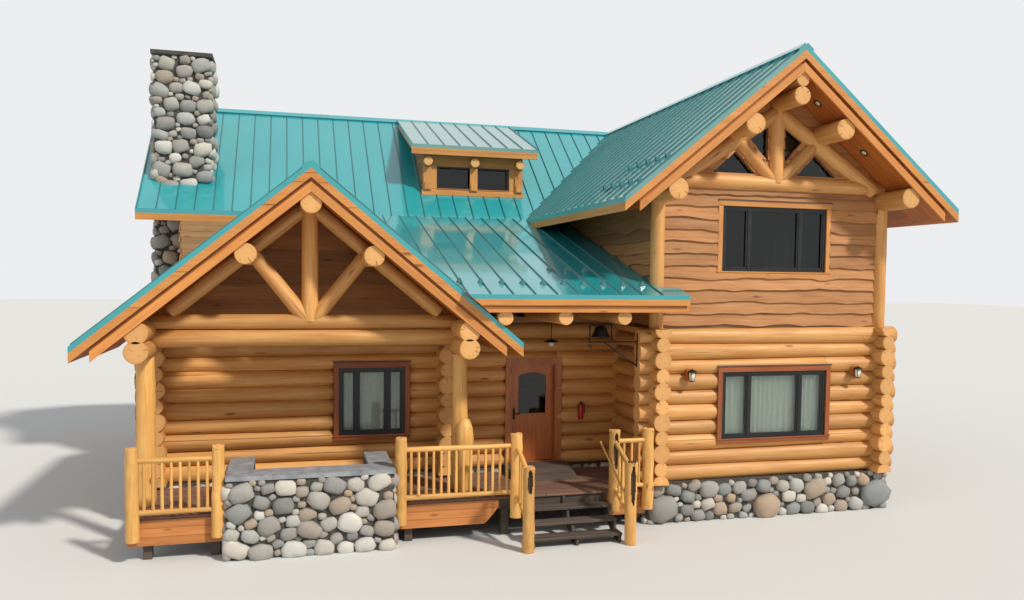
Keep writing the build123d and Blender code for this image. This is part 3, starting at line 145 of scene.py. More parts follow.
STAYING = {
    "InnerBoards": "upper_front_wall upper_left_wall upper_right_wall upper_back_wall main_gable_wall "
    "upper_entry_wall main_front_upper_wall dormer_walls",
    "FloorBoards": "ground_floor upper_floor",
    "Mortar": "wing_foundation main_foundation chimney stone_surround",
    "SlateCap": "surround_cap",
    "BlackFrame": "window_frames",
    "DarkTimber": "deck_frame stair_stringers door_landing",
    "DoorWood": "entry_door",
    "DoorCasing": "door_frame",
    "DarkGlass": "door_glass",
    "BlackIron": "door_handle leaf_hinges frame_hinges",
}


class Body(str, Enum):
    """Rigid bodies of the frame."""

    HOUSE = "house"
    DOOR = "door"


class Slot(str, Enum):
    """Material slots of the record."""

    STONE = "river_stone"
    ROOF = "roof_metal"
    WINDOW = "window_black"
    GLASS = "glass"
    IRON = "dark_iron"
    TRIM = "trim_wood"
    SIDING = "siding"
    DECK = "deck_wood"
    POLE = "peeled_pole"
    LOG = "log_wood"


# Finishes


class Graph:
    """Short calls that build one node tree."""

    def __init__(self, tree: bpy.types.NodeTree) -> None:
        """Keep the tree that the calls add to."""
        self.tree = tree

    def node(self, kind: str, sockets: dict[str, Any] | None = None, **props: Any) -> bpy.types.Node:
        """Add a node.

        Args:
            kind: Node type without its ShaderNode prefix.
            sockets: Input values or output sockets to link, by input name.
            **props: Properties of the node itself.

        Returns:
            The new node.
        """
        made = self.tree.nodes.new("ShaderNode" + kind)
        for name, value in props.items():
            setattr(made, name, value)
        for name, value in (sockets or {}).items():
            self.feed(made.inputs[name], value)
        return made

    def feed(self, socket: Socket, value: Any) -> None:
        """Link a socket to another, or set its value."""
        if isinstance(value, Socket):
            self.tree.links.new(value, socket)
        else:
            socket.default_value = value

    def math(self, operation: str, a: Any, b: Any = 0.0) -> Socket:
        """Result of one Math node."""
        made = self.node("Math", operation=operation)
        self.feed(made.inputs[0], a)
        self.feed(made.inputs[1], b)
        return made.outputs[0]

    def vector_math(self, operation: str, a: Any, socket: int | str, b: Any) -> Socket:
        """Result of one Vector Math node, its second operand on the given socket."""
        made = self.node("VectorMath", operation=operation)
        self.feed(made.inputs[0], a)
        self.feed(made.inputs[socket], b)
        return made.outputs[0]

    def scale(self, vector: Any, by: Sequence[float]) -> Socket:
        """Vector multiplied axis by axis."""
        return self.vector_math("MULTIPLY", vector, 1, by)

    def noise(
        self, vector: Any, scale: float, detail: float = 4.0, rough: float = 0.55, bent: float = 0.0
    ) -> Socket:
        """Factor of a noise texture."""
        sockets = {"Vector": vector, "Scale": scale, "Detail": detail, "Roughness": rough, "Distortion": bent}
        return self.node("TexNoise", sockets).outputs["Fac"]

    def ramp(self, factor: Any, stops: Sequence[tuple[float, Sequence[float]]]) -> Socket:
        """Colour of a ramp with the given stops."""
        made = self.node("ValToRGB")
        points = made.color_ramp.elements
        while len(points) < len(stops):
            points.new(0.5)
        for point, (at, colour) in zip(points, stops):
            point.position = at
            point.color = (*colour[:3], 1.0)
        self.feed(made.inputs[0], factor)
        return made.outputs[0]

    def span(
        self, factor: Any, low: float, high: float, to_low: float = 0.0, to_high: float = 1.0
    ) -> Socket:
        """Factor remapped from one range to another, clamped."""
        made = self.node("MapRange", clamp=True)
        for index, value in enumerate((factor, low, high, to_low, to_high)):
            self.feed(made.inputs[index], value)
        return made.outputs[0]

    def mix(self, factor: Any, a: Any, b: Any) -> Socket:
        """Colour mixed from a to b."""
        made = self.node("Mix", data_type="RGBA")
        self.feed(made.inputs[0], factor)
        self.feed(made.inputs[6], a if isinstance(a, Socket) else (*a, 1.0))
        self.feed(made.inputs[7], b if isinstance(b, Socket) else (*b, 1.0))
        return made.outputs[2]

    def level(self, colour: Any, value: Any) -> Socket:
        """Colour with its brightness multiplied."""
        return self.node("HueSaturation", {"Color": colour, "Value": value}).outputs[0]

    def bump(self, height: Any, strength: float, distance: float) -> Socket:
        """Normal of a surface with the given relief."""
        return self.node("Bump", {"Height": height, "Strength": strength, "Distance": distance}).outputs[0]

    def dress(self, **sockets: Any) -> None:
        """Feed the shader's sockets; an underscore stands for a space in a socket's name."""
        shader = self.tree.nodes["Principled BSDF"]
        for name, value in sockets.items():
            self.feed(shader.inputs[name.replace("_", " ")], value)


def new_material(name: str) -> tuple[bpy.types.Material, Graph]:
    """Empty finish and the graph of its nodes."""
    material = bpy.data.materials.new(name)
    material.use_nodes = True
    return material, Graph(material.node_tree)


def effect_group(
    name: str, inputs: Sequence[tuple[str, str, float]], outputs: Sequence[tuple[str, str]]
) -> Any:
    """Start a shader node group with named sockets.

    Args:
        name: Group name.
        inputs: Name, kind and default of each input; kind is Float or Vector.
        outputs: Name and kind of each output; kind is Float, Vector or Color.

    Returns:
        The tree, its Graph, its input node and its output node.
    """
    tree = bpy.data.node_groups.new(name, "ShaderNodeTree")
    for label, kind, default in inputs:
        socket = tree.interface.new_socket(label, in_out="INPUT", socket_type="NodeSocket" + kind)
        if kind == "Float":
            socket.default_value = default
    for label, kind in outputs:
        tree.interface.new_socket(label, in_out="OUTPUT", socket_type="NodeSocket" + kind)
    graph = Graph(tree)
    return tree, graph, tree.nodes.new("NodeGroupInput"), tree.nodes.new("NodeGroupOutput")


class Effects:
    """Node groups that more than one finish uses."""

    def __init__(self) -> None:
        """Build each group once."""
        self.grain = self._grain()
        self.weather = self._weather()

    def _grain(self) -> bpy.types.NodeTree:
        """Wood fibre along X of the vector: streaks, knots and drying cracks."""
        tree, g, start, end = effect_group(
            "WoodFibre",
            [("Vector", "Vector", 0.0), ("Fineness", "Float", 1.0), ("Shift", "Float", 0.0)],
            [("Streak", "Float"), ("Knot", "Float"), ("Crack", "Float"), ("Height", "Float")],
        )
        offset = g.node("CombineXYZ", {"X": g.math("MULTIPLY", start.outputs["Shift"], 37.0)})
        moved = g.vector_math("ADD", start.outputs["Vector"], 1, offset.outputs[0])
        vector = g.vector_math("SCALE", moved, "Scale", start.outputs["Fineness"])
        fibre = g.noise(g.scale(vector, (1.1, 21.0, 21.0)), 1.0, 7.0, 0.62, 0.35)
        blotch = g.noise(g.scale(vector, (0.7, 2.6, 2.6)), 1.0, 3.0, 0.5, 0.6)
        streak = g.math("ADD", g.math("MULTIPLY", fibre, 0.6), g.math("MULTIPLY", blotch, 0.4))
        cell = g.node("TexVoronoi", {"Vector": g.scale(vector, (1.15, 4.2, 4.2)), "Scale": 1.0})
        knot = g.span(cell.outputs["Distance"], 0.035, 0.13, 1.0, 0.0)
        split = g.noise(g.scale(vector, (0.55, 34.0, 34.0)), 1.0, 3.0, 0.4, 0.2)
        crack = g.span(split, 0.69, 0.73)
        height = g.math("SUBTRACT", g.math("MULTIPLY", streak, 0.6), crack)
        for name, value in (("Streak", streak), ("Knot", knot), ("Crack", crack), ("Height", height)):
            g.feed(end.inputs[name], value)
        return tree

    def _weather(self) -> bpy.types.NodeTree:
        """Blotches of dust and damp, for masonry and metal."""
        tree, g, start, end = effect_group(
            "Weather",
            [("Vector", "Vector", 0.0), ("Size", "Float", 1.0)],
            [("Blotch", "Float"), ("Speckle", "Float")],
        )
        scaled = g.vector_math("SCALE", start.outputs["Vector"], "Scale", start.outputs["Size"])
        g.feed(end.inputs["Blotch"], g.span(g.noise(scaled, 1.0, 5.0), 0.35, 0.68))
        g.feed(end.inputs["Speckle"], g.noise(scaled, 38.0, 3.0, 0.7))
        return tree


@dataclass(frozen=True)
class Wood:
    """Wood finish: colours of early wood, late wood and knots."""

    name: str
    light: Colour
    dark: Colour
    knot: Colour
    rough: float = 0.6
    fineness: float = 1.0
    bump: float = 0.25
    by_uv: bool = True
    turn: tuple[float, float, float] = (0.0, 0.0, 0.0)
    board: float = 0.0
    tone_low: float = 0.82
    tone_high: float = 1.16

    def build(self, effects: Effects) -> bpy.types.Material:
        """Make the material.

        Args:
            effects: Shared node groups.

        Returns:
            The finished material.
        """
        material, g = new_material(self.name)
        if self.by_uv:
            vector = g.node("UVMap", uv_map=GRAIN_UV).outputs[0]
            tone = g.node("Attribute", attribute_name=TONE).outputs["Fac"]
        else:
            place = g.node("TexCoord").outputs["Object"]
            vector = g.node("Mapping", {"Vector": place, "Rotation": self.turn}).outputs[0]
            tone = 0.5
        seam = None
        if self.board:
            parts = g.node("SeparateXYZ", {"Vector": vector})
            across = g.math("DIVIDE", parts.outputs["Y"], self.board)
            course = {"W": g.math("FLOOR", across)}
            tone = g.node("TexWhiteNoise", course, noise_dimensions="1D").outputs["Value"]
            edge = g.math("ABSOLUTE", g.math("SUBTRACT", g.math("FRACT", across), 0.5))
            seam = g.span(edge, 0.47, 0.495)
        fibre = {"Vector": vector, "Shift": tone, "Fineness": self.fineness}
        group = g.node("Group", fibre, node_tree=effects.grain)
        streak = g.span(group.outputs["Streak"], 0.34, 0.66)
        colour = g.mix(streak, self.dark, self.light)
        colour = g.mix(g.math("MULTIPLY", group.outputs["Knot"], 0.85), colour, self.knot)
        colour = g.mix(g.math("MULTIPLY", group.outputs["Crack"], 0.7), colour, self.knot)
        if seam is not None:
            colour = g.mix(seam, colour, tuple(c * 0.18 for c in self.dark))
        level = g.span(tone, 0.0, 1.0, self.tone_low, self.tone_high)
        rough = g.span(group.outputs["Streak"], 0.3, 0.7, self.rough + 0.12, self.rough - 0.08)
        height = group.outputs["Height"]
        if seam is not None:
            height = g.math("SUBTRACT", height, g.math("MULTIPLY", seam, 2.0))
        g.dress(Base_Color=g.level(colour, level), Roughness=rough, Normal=g.bump(height, self.bump, 0.006))
        return material


@dataclass(frozen=True)
class EndGrain:
    """Sawn log end with growth rings and drying checks."""

    name: str
    light: Colour
    dark: Colour

    def build(self, effects: Effects) -> bpy.types.Material:
        """Make the material, with rings round the log's own centre."""
        material, g = new_material(self.name)
        uv = g.node("UVMap", uv_map=GRAIN_UV).outputs[0]
        tone = g.node("Attribute", attribute_name=TONE).outputs["Fac"]
        length = g.node("VectorMath", {"Vector": uv}, operation="LENGTH").outputs["Value"]
        bent = g.math("ADD", length, g.math("MULTIPLY", g.noise(uv, 9.0, 3.0), 0.02))
        ring = g.math("SINE", g.math("MULTIPLY", bent, 620.0))
        parts = g.node("SeparateXYZ", {"Vector": uv})
        turn = g.math("ARCTAN2", parts.outputs["Y"], parts.outputs["X"])
        ray = g.math("ADD", g.math("MULTIPLY", turn, 2.2), g.math("MULTIPLY", tone, 40.0))
        spokes = g.node("CombineXYZ", {"X": ray, "Y": g.math("MULTIPLY", length, 2.0)}).outputs[0]
        check = g.span(g.noise(spokes, 1.6, 2.0), 0.64, 0.69)
        colour = g.mix(g.span(ring, -1.0, 1.0, 0.25, 0.85), self.dark, self.light)
        colour = g.mix(g.span(length, 0.09, 0.17, 0.0, 0.35), colour, self.dark)
        colour = g.mix(g.math("MULTIPLY", check, 0.8), colour, tuple(c * 0.25 for c in self.dark))
        colour = g.level(colour, g.span(tone, 0.0, 1.0, 0.86, 1.1))
        height = g.math("SUBTRACT", g.math("MULTIPLY", ring, 0.2), check)
        g.dress(Base_Color=colour, Roughness=0.75, Normal=g.bump(height, 0.25, 0.004))
        return material


@dataclass(frozen=True)
class Mineral:
    """Stone, slate or mortar: a ramp of colours by piece, mottled."""

    name: str
    stops: tuple[tuple[float, Colour], ...]
    rough: float = 0.8
    size: float = 6.0
    bump: float = 0.4
    by_piece: bool = True

    def build(self, effects: Effects) -> bpy.types.Material:
        """Make the material."""
        material, g = new_material(self.name)
        place = g.node("TexCoord").outputs["Object"]
        group = g.node("Group", {"Vector": place, "Size": self.size}, node_tree=effects.weather)
        if self.by_piece:
            pick = g.node("Attribute", attribute_name=TONE).outputs["Fac"]
        else:
            pick = g.noise(place, self.size, 5.0)
        speckle = group.outputs["Speckle"]
        dust = g.math("MULTIPLY", group.outputs["Blotch"], 0.12)
        colour = g.level(g.ramp(pick, self.stops), g.math("ADD", g.span(speckle, 0.3, 0.7, 0.72, 1.12), dust))
        g.dress(Base_Color=colour, Roughness=self.rough, Normal=g.bump(speckle, self.bump, 0.01))
        return material


@dataclass(frozen=True)
class Coating:
    """Paint, metal, glass or fabric of one colour, faintly uneven."""

    name: str
    colour: Colour
    worn: Colour
    rough: float = 0.4
    metallic: float = 0.0
    size: float = 1.2
    bump: float = 0.05
    transmission: float = 0.0
    coat: float = 0.0

    def build(self, effects: Effects) -> bpy.types.Material:
        """Make the material."""
        material, g = new_material(self.name)
        place = g.node("TexCoord").outputs["Object"]
        group = g.node("Group", {"Vector": place, "Size": self.size}, node_tree=effects.weather)
        colour = g.mix(g.math("MULTIPLY", group.outputs["Blotch"], 0.6), self.colour, self.worn)
        g.dress(Base_Color=colour, Metallic=self.metallic, Transmission_Weight=self.transmission)
        g.dress(Coat_Weight=self.coat, Coat_Roughness=0.08, Coat_IOR=1.7)
        if self.transmission:
            g.dress(Roughness=self.rough)
            return material
        rough = g.span(group.outputs["Blotch"], 0.0, 1.0, self.rough, self.rough + 0.14)
        g.dress(Roughness=rough, Normal=g.bump(group.outputs["Speckle"], self.bump, 0.004))
        return material


class Finishes:
    """Every finish of the building, by name."""

    def __init__(self) -> None:
        """Build all materials."""
        effects = Effects()
        half = math.pi / 2
        across, upright, inner_turn = (0, 0, half), (0, half, 0), (half, 0, 0)
        resin = (0.13, 0.038, 0.008)
        log = ((0.69, 0.368, 0.118), (0.47, 0.190, 0.042), resin)
        siding = ((0.50, 0.232, 0.082), (0.33, 0.132, 0.040), (0.11, 0.034, 0.010))
        knot = ((0.10, 0.045, 0.018), (0.035, 0.016, 0.007), (0.01, 0.005, 0.003))
        fascia = ((0.66, 0.29, 0.075), (0.48, 0.18, 0.035), resin)
        # Soffit colours darker than the fascia's: painted shade under the eaves.
        soffit = ((0.45, 0.15, 0.026), (0.31, 0.085, 0.012), resin)
        deck = ((0.23, 0.125, 0.085), (0.125, 0.062, 0.042), (0.05, 0.03, 0.02))
        dark = ((0.115, 0.085, 0.065), (0.055, 0.038, 0.030), (0.02, 0.015, 0.012))
        door = ((0.56, 0.165, 0.030), (0.37, 0.090, 0.015), (0.04, 0.010, 0.004))
        casing = ((0.46, 0.155, 0.032), (0.30, 0.085, 0.016), (0.05, 0.014, 0.006))
        inner = ((0.40, 0.22, 0.09), (0.25, 0.12, 0.045), resin)
        floor = ((0.38, 0.21, 0.09), (0.24, 0.12, 0.045), resin)
        smoke, clear = ((0.06, 0.08, 0.074), (0.048, 0.068, 0.062)), ((0.74, 0.80, 0.78), (0.70, 0.77, 0.75))
        mortar = ((0.3, (0.050, 0.046, 0.040)), (0.7, (0.095, 0.088, 0.078)))
        slate = ((0.3, (0.20, 0.215, 0.235)), (0.7, (0.34, 0.355, 0.375)))
        kinds = [
            Wood("PeeledLog", *log, 0.52, 0.8, 0.3),
            Wood("PeeledPole", (0.77, 0.45, 0.135), (0.56, 0.26, 0.058), resin, 0.5, 1.4, 0.25),
            EndGrain("SawnLogEnd", (0.82, 0.46, 0.17), (0.55, 0.25, 0.07)),
            Wood("LiveEdgeSiding", *siding, 0.66, 0.9, 0.35, tone_low=0.74, tone_high=1.18),
            Wood("StainedTrim", (0.36, 0.095, 0.020), (0.22, 0.050, 0.010), resin, 0.5, 1.0, 0.2),
            Wood("PaleTrim", (0.66, 0.30, 0.080), (0.46, 0.18, 0.040), resin, 0.5, 1.0, 0.2),
            # Near-black finish for the inside of the posts' knot holes: painted shade in the hollow.
            Wood("HollowPaintedShade", *knot, 0.8, 1.5, 0.5),
            # Soffit boards darkened: painted shade under the overhangs.
            Wood("SoffitBoardsPaintedShade", (0.47, 0.145, 0.022), (0.32, 0.085, 0.012), resin, 0.5, 0.9, 0.2),
            Wood("FasciaX", *fascia, 0.5, 0.8, 0.2, by_uv=False),
            Wood("FasciaY", *fascia, 0.5, 0.8, 0.2, by_uv=False, turn=across),
            Wood("BargeBoard", (0.66, 0.28, 0.07), (0.48, 0.17, 0.032), resin, 0.5, 0.8, 0.2),
            Wood("SoffitXPaintedShade", *soffit, 0.5, 0.9, 0.2, by_uv=False, board=0.14),
            Wood("SoffitYPaintedShade", *soffit, 0.5, 0.9, 0.2, by_uv=False, turn=across, board=0.14),
            Wood("InnerBoards", *inner, 0.6, 0.9, 0.2, by_uv=False, turn=inner_turn, board=0.14),
            Wood("FloorBoards", *floor, 0.5, 0.9, 0.15, by_uv=False, board=0.12),
            Wood("DeckBoards", *deck, 0.7, 1.0, 0.3),
            Wood("SkirtBoards", (0.58, 0.235, 0.065), (0.40, 0.135, 0.030), resin, 0.6, 1.0, 0.25),
            Wood("TreadBoards", *dark, 0.7, 1.0, 0.3),
            Wood("DarkTimber", *dark, 0.7, 1.0, 0.3, by_uv=False),
            Wood("DoorWood", *door, 0.35, 1.2, 0.12, by_uv=False, turn=upright),
            Wood("DoorCasing", *casing, 0.42, 1.0, 0.15, by_uv=False, turn=upright),
            Mineral(
                "RiverStone",
                (
                    (0.0, (0.40, 0.375, 0.33)),
                    (0.16, (0.19, 0.19, 0.185)),
                    (0.3, (0.60, 0.55, 0.47)),
                    (0.46, (0.28, 0.275, 0.26)),
                    (0.62, (0.42, 0.31, 0.21)),
                    (0.78, (0.24, 0.255, 0.25)),
                    (1.0, (0.66, 0.63, 0.57)),
                ),
                0.75,
                7.0,
                0.35,
            ),
            Mineral("Mortar", mortar, 0.95, 14.0, 0.5, by_piece=False),
            Mineral("SlateCap", slate, 0.7, 5.0, 0.3, by_piece=False),
            Coating("TealRoof", (0.008, 0.285, 0.315), (0.022, 0.330, 0.345), 0.34, 0.0, 0.9, 0.04, coat=1.0),
            # Paler copy of the roof teal for the wing's left slope and the dormer: painted sky reflection.
            Coating("TealPaintedReflection", (0.085, 0.260, 0.245), (0.130, 0.310, 0.280), 0.3, 0.0, 0.9, 0.04, coat=1.0),
            # Darker copy of the roof teal: painted shade along the seams; the snow guards use it too.
            Coating("TealPaintedShade", (0.006, 0.130, 0.140), (0.012, 0.160, 0.165), 0.4, 0.0, 0.9, 0.04, coat=0.5),
            Coating("RedEnamel", (0.42, 0.012, 0.010), (0.30, 0.010, 0.008), 0.3, 0.0, 6.0),
            Coating("DarkGlass", *smoke, 0.02, 0.0, 1.0, transmission=1.0),
            Coating("BlackFrame", (0.012, 0.013, 0.014), (0.022, 0.023, 0.024), 0.35, 0.2, 3.0),
            Coating("WindowGlass", *clear, 0.02, 0.0, 1.0, transmission=1.0),
            Coating("BlackIron", (0.010, 0.010, 0.010), (0.028, 0.024, 0.021), 0.45, 0.6, 12.0, 0.15),
            Coating("MilkGlass", (0.80, 0.74, 0.60), (0.72, 0.66, 0.52), 0.3, 0.0, 5.0),
            Coating("CurtainCloth", (0.66, 0.68, 0.60), (0.56, 0.59, 0.51), 0.9, 0.0, 20.0, 0.3),
        ]
        self.all = {kind.name: kind.build(effects) for kind in kinds}

    def get(self, name: str) -> bpy.types.Material:
        """Finish of that name."""
        return self.all[name]


# Mesh shapes


def new_bm() -> Mesh:
    """Empty bmesh with the grain and tone layers."""
    bm = bmesh.new()
    bm.loops.layers.uv.new(GRAIN_UV)
    bm.faces.layers.float.new(TONE)
    return bm


def merge(into: Mesh, part: Mesh) -> None:
    """Add a part to a bmesh and free the part."""
    mesh = bpy.data.meshes.new("part")
    part.to_mesh(mesh)
    into.from_mesh(mesh)
    bpy.data.meshes.remove(mesh)
    part.free()


def clip(bm: Mesh, point: Vector, normal: Vector) -> None:
    """Cut away what lies on the normal's side of a plane and close the cut.

    Args:
        bm: Closed shape that is cut.
        point: A point on the plane.
        normal: Side that goes.
    """
    if not bm.faces:
        return
    bm.normal_update()
    geometry = bm.verts[:] + bm.edges[:] + bm.faces[:]
    cut = bmesh.ops.bisect_plane(
        bm, geom=geometry, dist=1e-5, plane_co=point, plane_no=normal, clear_outer=True
    )
    edges = [e for e in cut["geom_cut"] if isinstance(e, bmesh.types.BMEdge)]
    if not edges:
        return
    filled = bmesh.ops.holes_fill(bm, edges=edges, sides=0)["faces"]
    uv = bm.loops.layers.uv[GRAIN_UV]
    tone = bm.faces.layers.float[TONE]
    bm.faces.ensure_lookup_table()
    value = bm.faces[0][tone]
    for face in filled:
        face[tone] = value
        face.material_index = 0
        for loop in face.loops:
            loop[uv].uv = (loop.vert.co.x + loop.vert.co.y, loop.vert.co.z)


def clip_all(bm: Mesh, clips: Iterable[Clip]) -> Mesh:
    """Cut a shape by each plane in turn and give it back."""
    for point, normal in clips:
        clip(bm, point, normal)
    return bm


def soften(bm: Mesh, edges: Sequence[bmesh.types.BMEdge], offset: float, segments: int = 1) -> None:
    """Bevel the given edges."""
    bmesh.ops.bevel(
        bm, geom=edges, offset=offset, segments=segments, profile=0.5, affect="EDGES", material=-1
    )


def block(x1: float, x2: float, z1: float, z2: float) -> Outline:
    """Rectangular opening, anticlockwise as seen from outside."""
    return ((x1, z1), (x2, z1), (x2, z2), (x1, z2))


def carve(part: Mesh, openings: Iterable[Outline]) -> list[Mesh]:
    """Cut convex openings through a part that runs along its local X.

    Args:
        part: Closed shape in the wall's own frame.
        openings: Corners of each opening as X and Z, anticlockwise from outside.

    Returns:
        The parts that are left round the openings.
    """
    parts = [part]
    for outline in openings:
        (x1, x2), (z1, z2) = ((min(row), max(row)) for row in zip(*outline))
        left_over = []
        for piece in parts:
            xs = [v.co.x for v in piece.verts]
            zs = [v.co.z for v in piece.verts]
            if not xs or max(xs) <= x1 or min(xs) >= x2 or max(zs) <= z1 or min(zs) >= z2:
                left_over.append(piece)
                continue
            for (ax, az), (bx, bz) in zip(outline, (*outline[1:], outline[0])):
                point, away = Vector((ax, 0, az)), Vector((bz - az, 0, ax - bx)).normalized()
                outer = piece.copy()
                clip(outer, point, -away)
                clip(piece, point, away)
                if outer.faces:
                    left_over.append(outer)
                else:
                    outer.free()
            piece.free()
        parts = left_over
    return parts


def set_grain(bm: Mesh, along: int, tone: float, skin: int, shift: float) -> None:
    """Lay the grain of a straight board along one axis of its own frame."""
    uv = bm.loops.layers.uv[GRAIN_UV]
    tones = bm.faces.layers.float[TONE]
    others = [axis for axis in range(3) if axis != along]
    bm.normal_update()
    for face in bm.faces:
        face[tones] = tone
        face.material_index = skin
        n = face.normal
        across = others[0] if abs(n[others[1]]) >= abs(n[others[0]]) else others[1]
        for loop in face.loops:
            loop[uv].uv = (loop.vert.co[along] + shift, loop.vert.co[across] + shift)


def log_mesh(
    start: Point,
    end: Point,
    first: float,
    last: float,
    rng: Rng,
    segments: int = 20,
    cuts: int = 6,
    wobble: float = 0.005,
    sway: float = 0.006,
    skin: int = 0,
    cap: int = 1,
    swell: float = 0.0,
) -> Mesh:
    """Peeled round log with softened ends.

    Args:
        start: Centre of the first end.
        end: Centre of the last end.
        first: Radius at the start.
        last: Radius at the end.
        rng: Source of the log's own variation.
        segments: Sides round the log.
        cuts: Rings between the ends.
        wobble: How far the surface is uneven.
        sway: How far the centre line wanders.
        skin: Material index of the sides.
        cap: Material index of the ends.
        swell: Extra radius at some rings, as on knotty poles.

    Returns:
        The log in the row frame.
    """
    bm = new_bm()
    start, end = Vector(start), Vector(end)
    length = (end - start).length
    bmesh.ops.create_cone(bm, cap_ends=True, segments=segments, radius1=first, radius2=last, depth=length)
    long_edges = [e for e in bm.edges if abs(e.verts[0].co.z - e.verts[1].co.z) > length * 0.5]
    if cuts:
        bmesh.ops.subdivide_edges(bm, edges=long_edges, cuts=cuts, use_grid_fill=True)
    rims = [e for e in bm.edges if all(abs(abs(v.co.z) - length / 2) < 1e-5 for v in e.verts)]
    rounding = min(first, last) * 0.09
    soften(bm, rims, rounding, 2)
    seed = Vector((rng.uniform(0, 90), rng.uniform(0, 90), rng.uniform(0, 90)))
    for vert in bm.verts:
        co = vert.co
        radius = math.hypot(co.x, co.y)
        if radius > rounding * 2:
            bump = noise.noise(Vector((co.x * 6, co.y * 6, co.z * 1.4)) + seed) * wobble
            bump += swell * max(0.0, noise.noise(Vector((co.x * 9, co.y * 9, co.z * 5)) + seed))
            co.x *= 1 + bump / radius
            co.y *= 1 + bump / radius
        inner = 1 - (2 * abs(co.z) / length) ** 4
        co.x += noise.noise(Vector((co.z * 0.7, 3.1, 0)) + seed) * sway * inner
        co.y += noise.noise(Vector((co.z * 0.7, 0, 7.7)) + seed) * sway * inner
    bm.normal_update()
    uv = bm.loops.layers.uv[GRAIN_UV]
    tones = bm.faces.layers.float[TONE]
    tone = rng.random()
    shift = rng.uniform(0, 40)
    middle = (first + last) / 2
    for face in bm.faces:
        face[tones] = tone
        centre = face.calc_center_median()
        if abs(face.normal.z) > 0.7 and abs(centre.z) > length / 2 - rounding * 1.5:
            face.material_index = cap
            for loop in face.loops:
                loop[uv].uv = (loop.vert.co.x, loop.vert.co.y)
            continue
        face.material_index = skin
        face.smooth = True
        about = math.atan2(centre.y, centre.x)
        for loop in face.loops:
            angle = math.atan2(loop.vert.co.y, loop.vert.co.x)
            angle += round((about - angle) / math.tau) * math.tau
            loop[uv].uv = (loop.vert.co.z + shift, angle * middle + shift)
    turn = (end - start).to_track_quat("Z", "Y").to_matrix().to_4x4()
    bm.transform(Matrix.Translation((start + end) / 2) @ turn)
    return bm


def add_logs(
    whole: Mesh, rows: Iterable[LogRow], rng: Rng, shape: Sequence[float], clips: Sequence[Clip] = ()
) -> None:
    """Add logs to a bmesh, each cut by the same planes.

    Args:
        whole: Where the logs go.
        rows: Start, end and both radii of each log.
        rng: Source of the logs' variation.
        shape: Sides, rings, wobble and sway of every log.
        clips: Planes that each log is cut by.
    """
    for row in rows:
        merge(whole, clip_all(log_mesh(*row, rng, *shape), clips))


def board_mesh(
    low: Point, high: Point, along: int, rng: Rng, skin: int = 0, ease: float = 0.004
) -> Mesh:
    """Sawn board with eased edges between two corners, its grain along one axis."""
    bm = new_bm()
    size = [b - a for a, b in zip(low, high)]
    bmesh.ops.create_cube(bm, size=1.0)
    bmesh.ops.scale(bm, vec=size, verts=bm.verts)
    if ease:
        soften(bm, bm.edges[:], min(ease, min(size) * 0.3))
    bmesh.ops.translate(bm, vec=[(a + b) / 2 for a, b in zip(low, high)], verts=bm.verts)
    set_grain(bm, along, rng.random(), skin, rng.uniform(0, 30))
    return bm


def add_boards(
    whole: Mesh, rows: Iterable[BoardRow], rng: Rng, place: Matrix | None = None, ease: float = 0.004
) -> None:
    """Add boards to a bmesh.

    Args:
        whole: Where the boards go.
        rows: Low corner, high corner, grain axis and finish index of each board.
        rng: Source of the boards' variation.
        place: Place of the boards' own frame in the row frame.
        ease: How far their edges are eased.
    """
    for low, high, along, skin in rows:
        part = board_mesh(low, high, along, rng, skin, ease)
        if place:
            part.transform(place)
        merge(whole, part)


def beam_mesh(start: Vector, end: Vector, width: float, depth: float, up: Vector, rng: Rng) -> Mesh:
    """Sawn board from one point to another, its depth along the given up direction."""
    half = Vector(((end - start).length, width, depth)) / 2
    bm = board_mesh(-half, half, 0, rng)
    x_axis = (end - start).normalized()
    y_axis = up.cross(x_axis).normalized()
    z_axis = x_axis.cross(y_axis)
    turn = Matrix((x_axis, y_axis, z_axis)).transposed().to_4x4()
    bm.transform(Matrix.Translation((start + end) / 2) @ turn)
    return bm


def turned(
    profile: Outline,
    at: Point,
    rng: Rng,
    skin: int = 0,
    segments: int = 24,
    wobble: float = 0.0,
) -> Mesh:
    """Shape spun round an upright line.

    Args:
        profile: Radius and height of each point; it starts and ends at radius 0.
        at: Foot of the upright line.
        rng: Source of the shape's own variation.
        skin: Material index.
        segments: Sides round the shape.
        wobble: How far the surface is uneven.

    Returns:
        The closed shape in the row frame.
    """
    bm = new_bm()
    verts = [bm.verts.new((radius, 0, height)) for radius, height in profile]
    edges = [bm.edges.new(pair) for pair in zip(verts, verts[1:])]
    bmesh.ops.spin(
        bm, geom=verts + edges, cent=(0, 0, 0), axis=UP, angle=math.tau, steps=segments, use_merge=True
    )
    bmesh.ops.remove_doubles(bm, verts=bm.verts, dist=1e-5)
    bmesh.ops.recalc_face_normals(bm, faces=bm.faces)
    seed = Vector((rng.uniform(0, 90), rng.uniform(0, 90), 0))
    for vert in bm.verts:
        radius = math.hypot(vert.co.x, vert.co.y)
        if wobble and radius > wobble:
            swell = 1 + wobble * noise.noise(vert.co * 9 + seed) / radius
            vert.co.x *= swell
            vert.co.y *= swell
    set_grain(bm, 2, rng.random(), skin, rng.uniform(0, 30))
    for face in bm.faces:
        face.smooth = True
    bmesh.ops.translate(bm, vec=at, verts=bm.verts)
    return bm


def rod_path(points: Sequence[Point], radius: float, rng: Rng, skin: int = 0, sides: int = 8) -> Mesh:
    """Round rod bent along the given points."""
    whole = new_bm()
    points = [Vector(point) for point in points]
    for start, end in zip(points, points[1:]):
        reach = (end - start).normalized() * radius * 0.5
        shape = (sides, 0, 0.0, 0.0, skin, skin)
        merge(whole, log_mesh(start - reach, end + reach, radius, radius, rng, *shape))
    return whole


